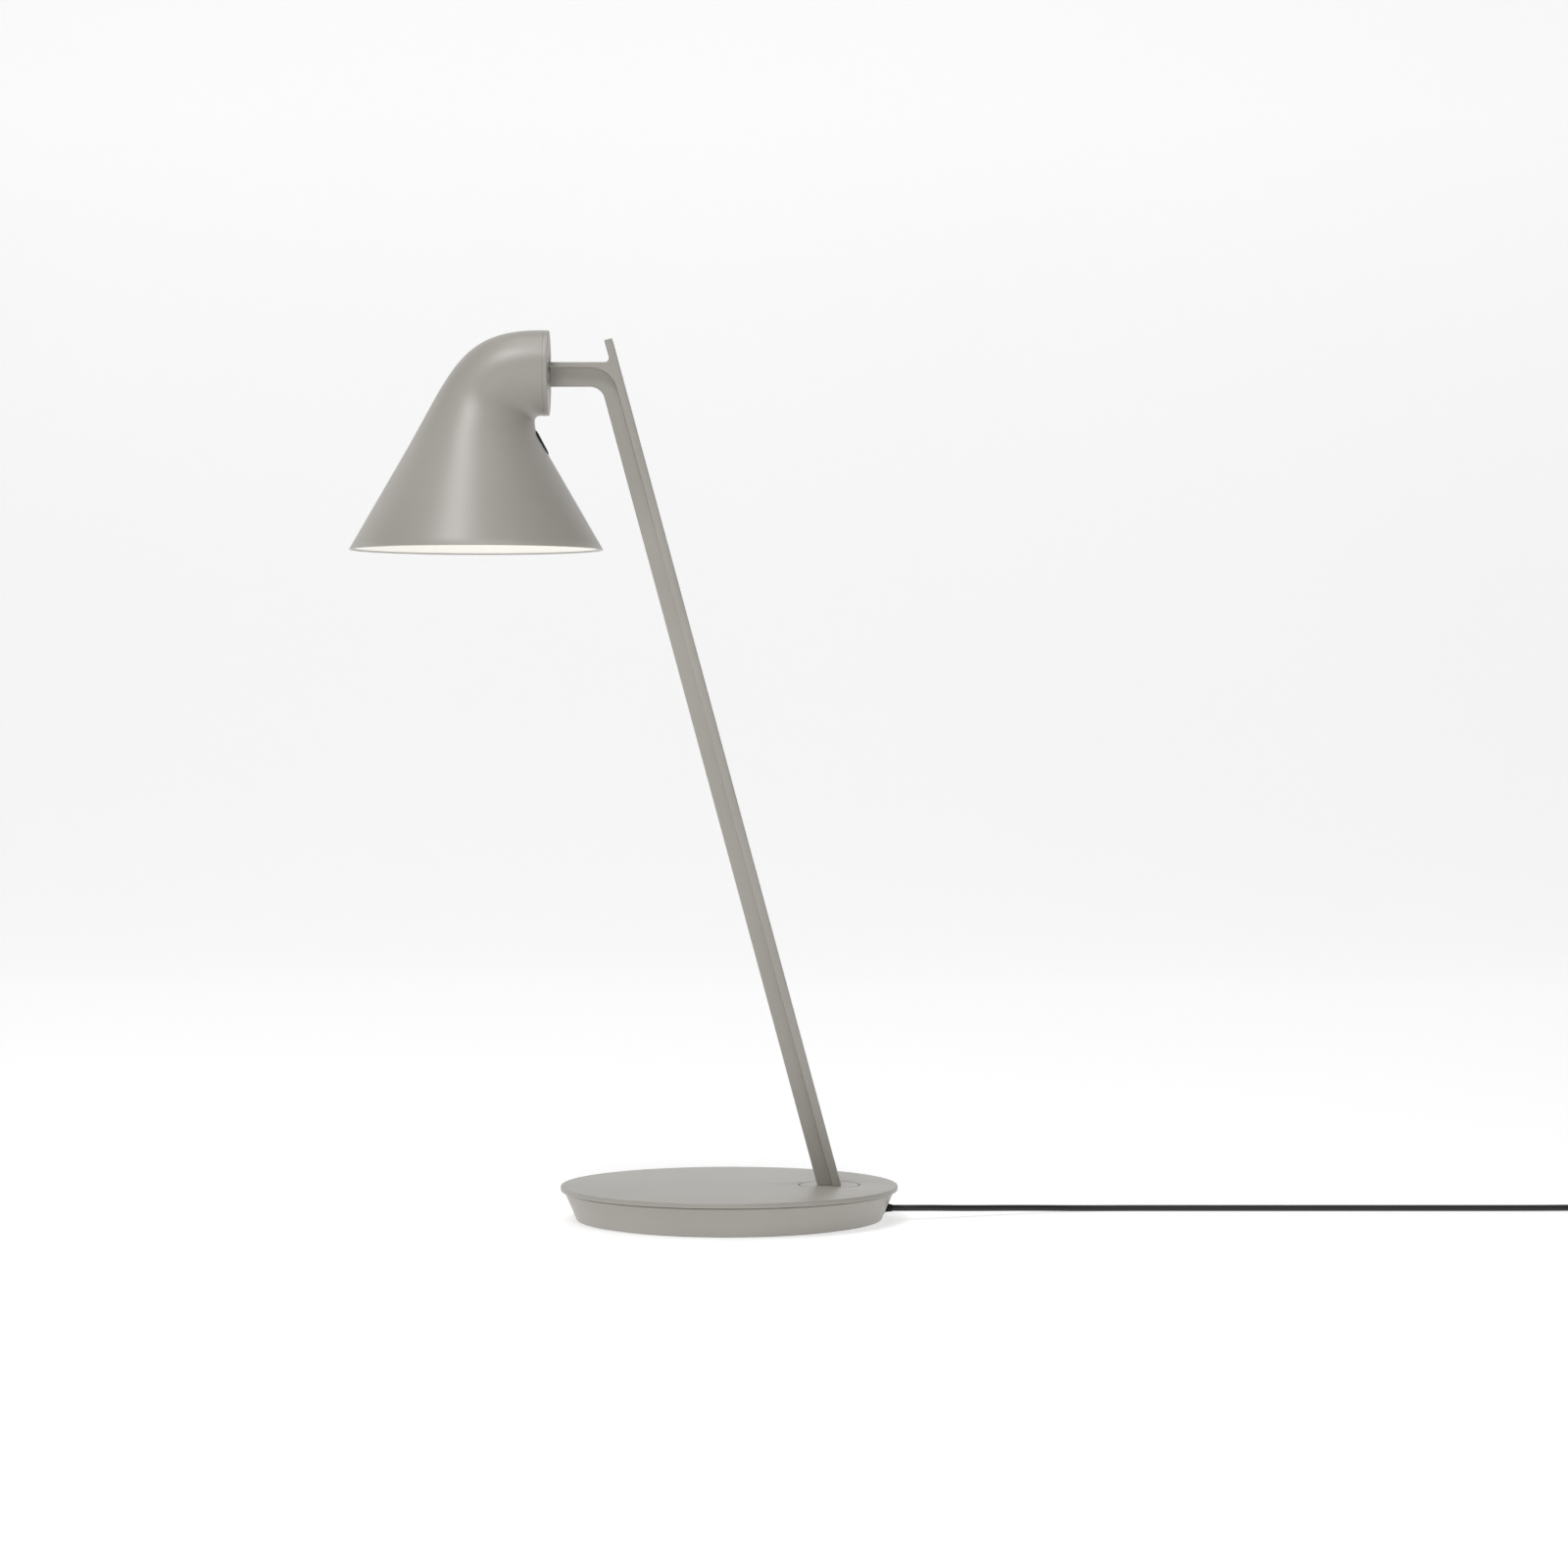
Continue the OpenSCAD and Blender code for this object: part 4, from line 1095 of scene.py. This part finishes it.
# ---- Light module ----
# A steel ring clamps the opal disc and carries an aluminium heat sink with the
# round board of light emitters below it. Three screws hold it.
aluminium, lay, place = finish("bare aluminium", {"Metallic": 1.0})
brushed = place.node("ShaderNodeMapping", {}, {0: place, "Scale": (1, 40, 1)}).noise(180, 3)
lay(
    Base_Color=brushed.tints(tint(188, 190, 193), tint(208, 210, 212)),
    Roughness=0.3 + 0.15 * brushed,
    Normal=brushed.relief(0.00001, 0.4),
)
white_board, lay, place = finish("white board", {"Specular IOR Level": 0.5})
pads = place.cells(260, "DISTANCE_TO_EDGE").step(0.03, 0.08)
lay(
    Base_Color=pads.tints(tint(206, 204, 196), tint(236, 235, 230)),
    Roughness=0.35 + 0.15 * place.noise(300),
    Normal=pads.relief(0.00002, 0.4),
)
phosphor, lay, place = finish("emitter phosphor", {"Emission Strength": 1.0, "Specular IOR Level": 0.5})
domes = place.cells(900)
lay(
    Base_Color=domes.tints(tint(242, 214, 92), tint(232, 198, 70)),
    Emission_Color=domes.tints(tint(255, 240, 205), tint(255, 232, 180)),
    Roughness=0.25 + 0.2 * place.noise(500),
)
keep(zinc, "module_ring", "module_screws", "switch_bracket")
keep(aluminium, "heat_sink")
keep(white_board, "led_board")
keep(phosphor, "led_emitters")

# ---- Dimmer button ----
# A dark grey silicone button with a crowned oval face, held behind the shell by
# a flange. Pressing it works the switch on the small board behind.
silicone, lay, place = finish("dark silicone", {"Specular IOR Level": 0.4, "Sheen Weight": 0.15})
soft = place.noise(1500, 4)
lay(
    Base_Color=soft.tints(tint(52, 51, 50), tint(66, 65, 63)),
    Roughness=0.6 + 0.15 * soft,
    Normal=soft.relief(0.00003, 0.5),
)
flange_from = 3.1
flange_to = 3.9
plunger_r = 1.5
crown_rings = ((0, flange_to), (0, 0.9), (0.12, 0.45), (0.4, 0.18), (0.9, 0.06), (1.8, 0.0))
crown = [
    [(x, y, depth) for x, y in stadium(button_l - 2 * inset, button_w - 2 * inset)]
    for inset, depth in crown_rings
]
count = len(crown[0])
points = [p for ring in crown for p in ring]
faces = [list(range(count)), list(range(len(points) - count, len(points)))]
for i in range(len(crown) - 1):
    low = i * count
    high = low + count
    faces += [[low + k, low + (k + 1) % count, high + (k + 1) % count, high + k] for k in range(count)]
button = part("silicone_button", points, faces, in_button)
flange_outline = stadium(button_l + 2, button_w + 2)
worked(button, "UNION", plate("flange", flange_outline, flange_from, flange_to, in_button))
plunger = round_bar(plunger_r, flange_to - 0.2, flange_to + 0.4, sides=32)
plunger.data.transform(in_button)
worked(button, "UNION", plunger)
done(button, silicone, "button_rubber", "button", "dimmer_button")

# ---- Floor and light ----
# A pale floor that curves up into a pale wall, which glows a little so that it
# stays even. A high key lamp stands front left, with soft fills in front of the
# lamp and at its left side, and a wide lamp overhead.
backdrop, lay, place = finish("pale studio paper", {
    "Specular IOR Level": 0.1, "Emission Color": (1, 1, 1, 1), "Emission Strength": 0.62
})
lay(
    Base_Color=place.noise(3, 2).tints(tint(198, 198, 198), tint(201, 201, 201)),
    Roughness=0.9 + 0.05 * place.noise(40),
)
sweep_r = 900
front_y = -3500
wall_y = 2600
wall_top = 3600
half_paper = 4500
sweep = [(front_y, 0)] + [
    (wall_y - sweep_r + sweep_r * math.sin(math.radians(a)), sweep_r - sweep_r * math.cos(math.radians(a)))
    for a in range(0, 91, 5)
] + [(wall_y, wall_top)]
points = [(x, y, z) for x in (-half_paper, half_paper) for y, z in sweep]
faces = [[k, k + 1, len(sweep) + k + 1, len(sweep) + k] for k in range(len(sweep) - 1)]
paper = part("studio_paper", points, faces)
paper.data.materials.append(backdrop)
paper.data.shade_smooth()

world = bpy.data.worlds.new("studio")
bpy.context.scene.world = world
world.use_nodes = True
background = world.node_tree.nodes["Background"]
background.inputs["Color"].default_value = (1, 1, 1, 1)
background.inputs["Strength"].default_value = 0.06


def lamp(name, size, bearing, height, distance, power):
    """A square soft lamp aimed at the shade. Bearing is from the front, positive to the right."""
    light = bpy.data.lights.new(name, "AREA")
    light.shape = "SQUARE"
    light.size = size
    light.energy = power
    made = bpy.data.objects.new(name, light)
    turn, rise = math.radians(bearing), math.radians(height)
    reach = Vector((math.sin(turn) * math.cos(rise), -math.cos(turn) * math.cos(rise), math.sin(rise)))
    made.location = Vector((-0.05, 0, 0.28)) + reach * distance
    made.rotation_euler = reach.to_track_quat("Z", "Y").to_euler()
    bpy.context.scene.collection.objects.link(made)


lamp("key", 0.75, -28, 56, 2.3, 21)
lamp("side", 1.0, -55, 25, 2.4, 2)
lamp("front", 1.2, -8, 8, 2.6, 7)
lamp("overhead", 1.5, 0, 90, 2.3, 16)
bpy.context.scene.view_settings.view_transform = "Standard"
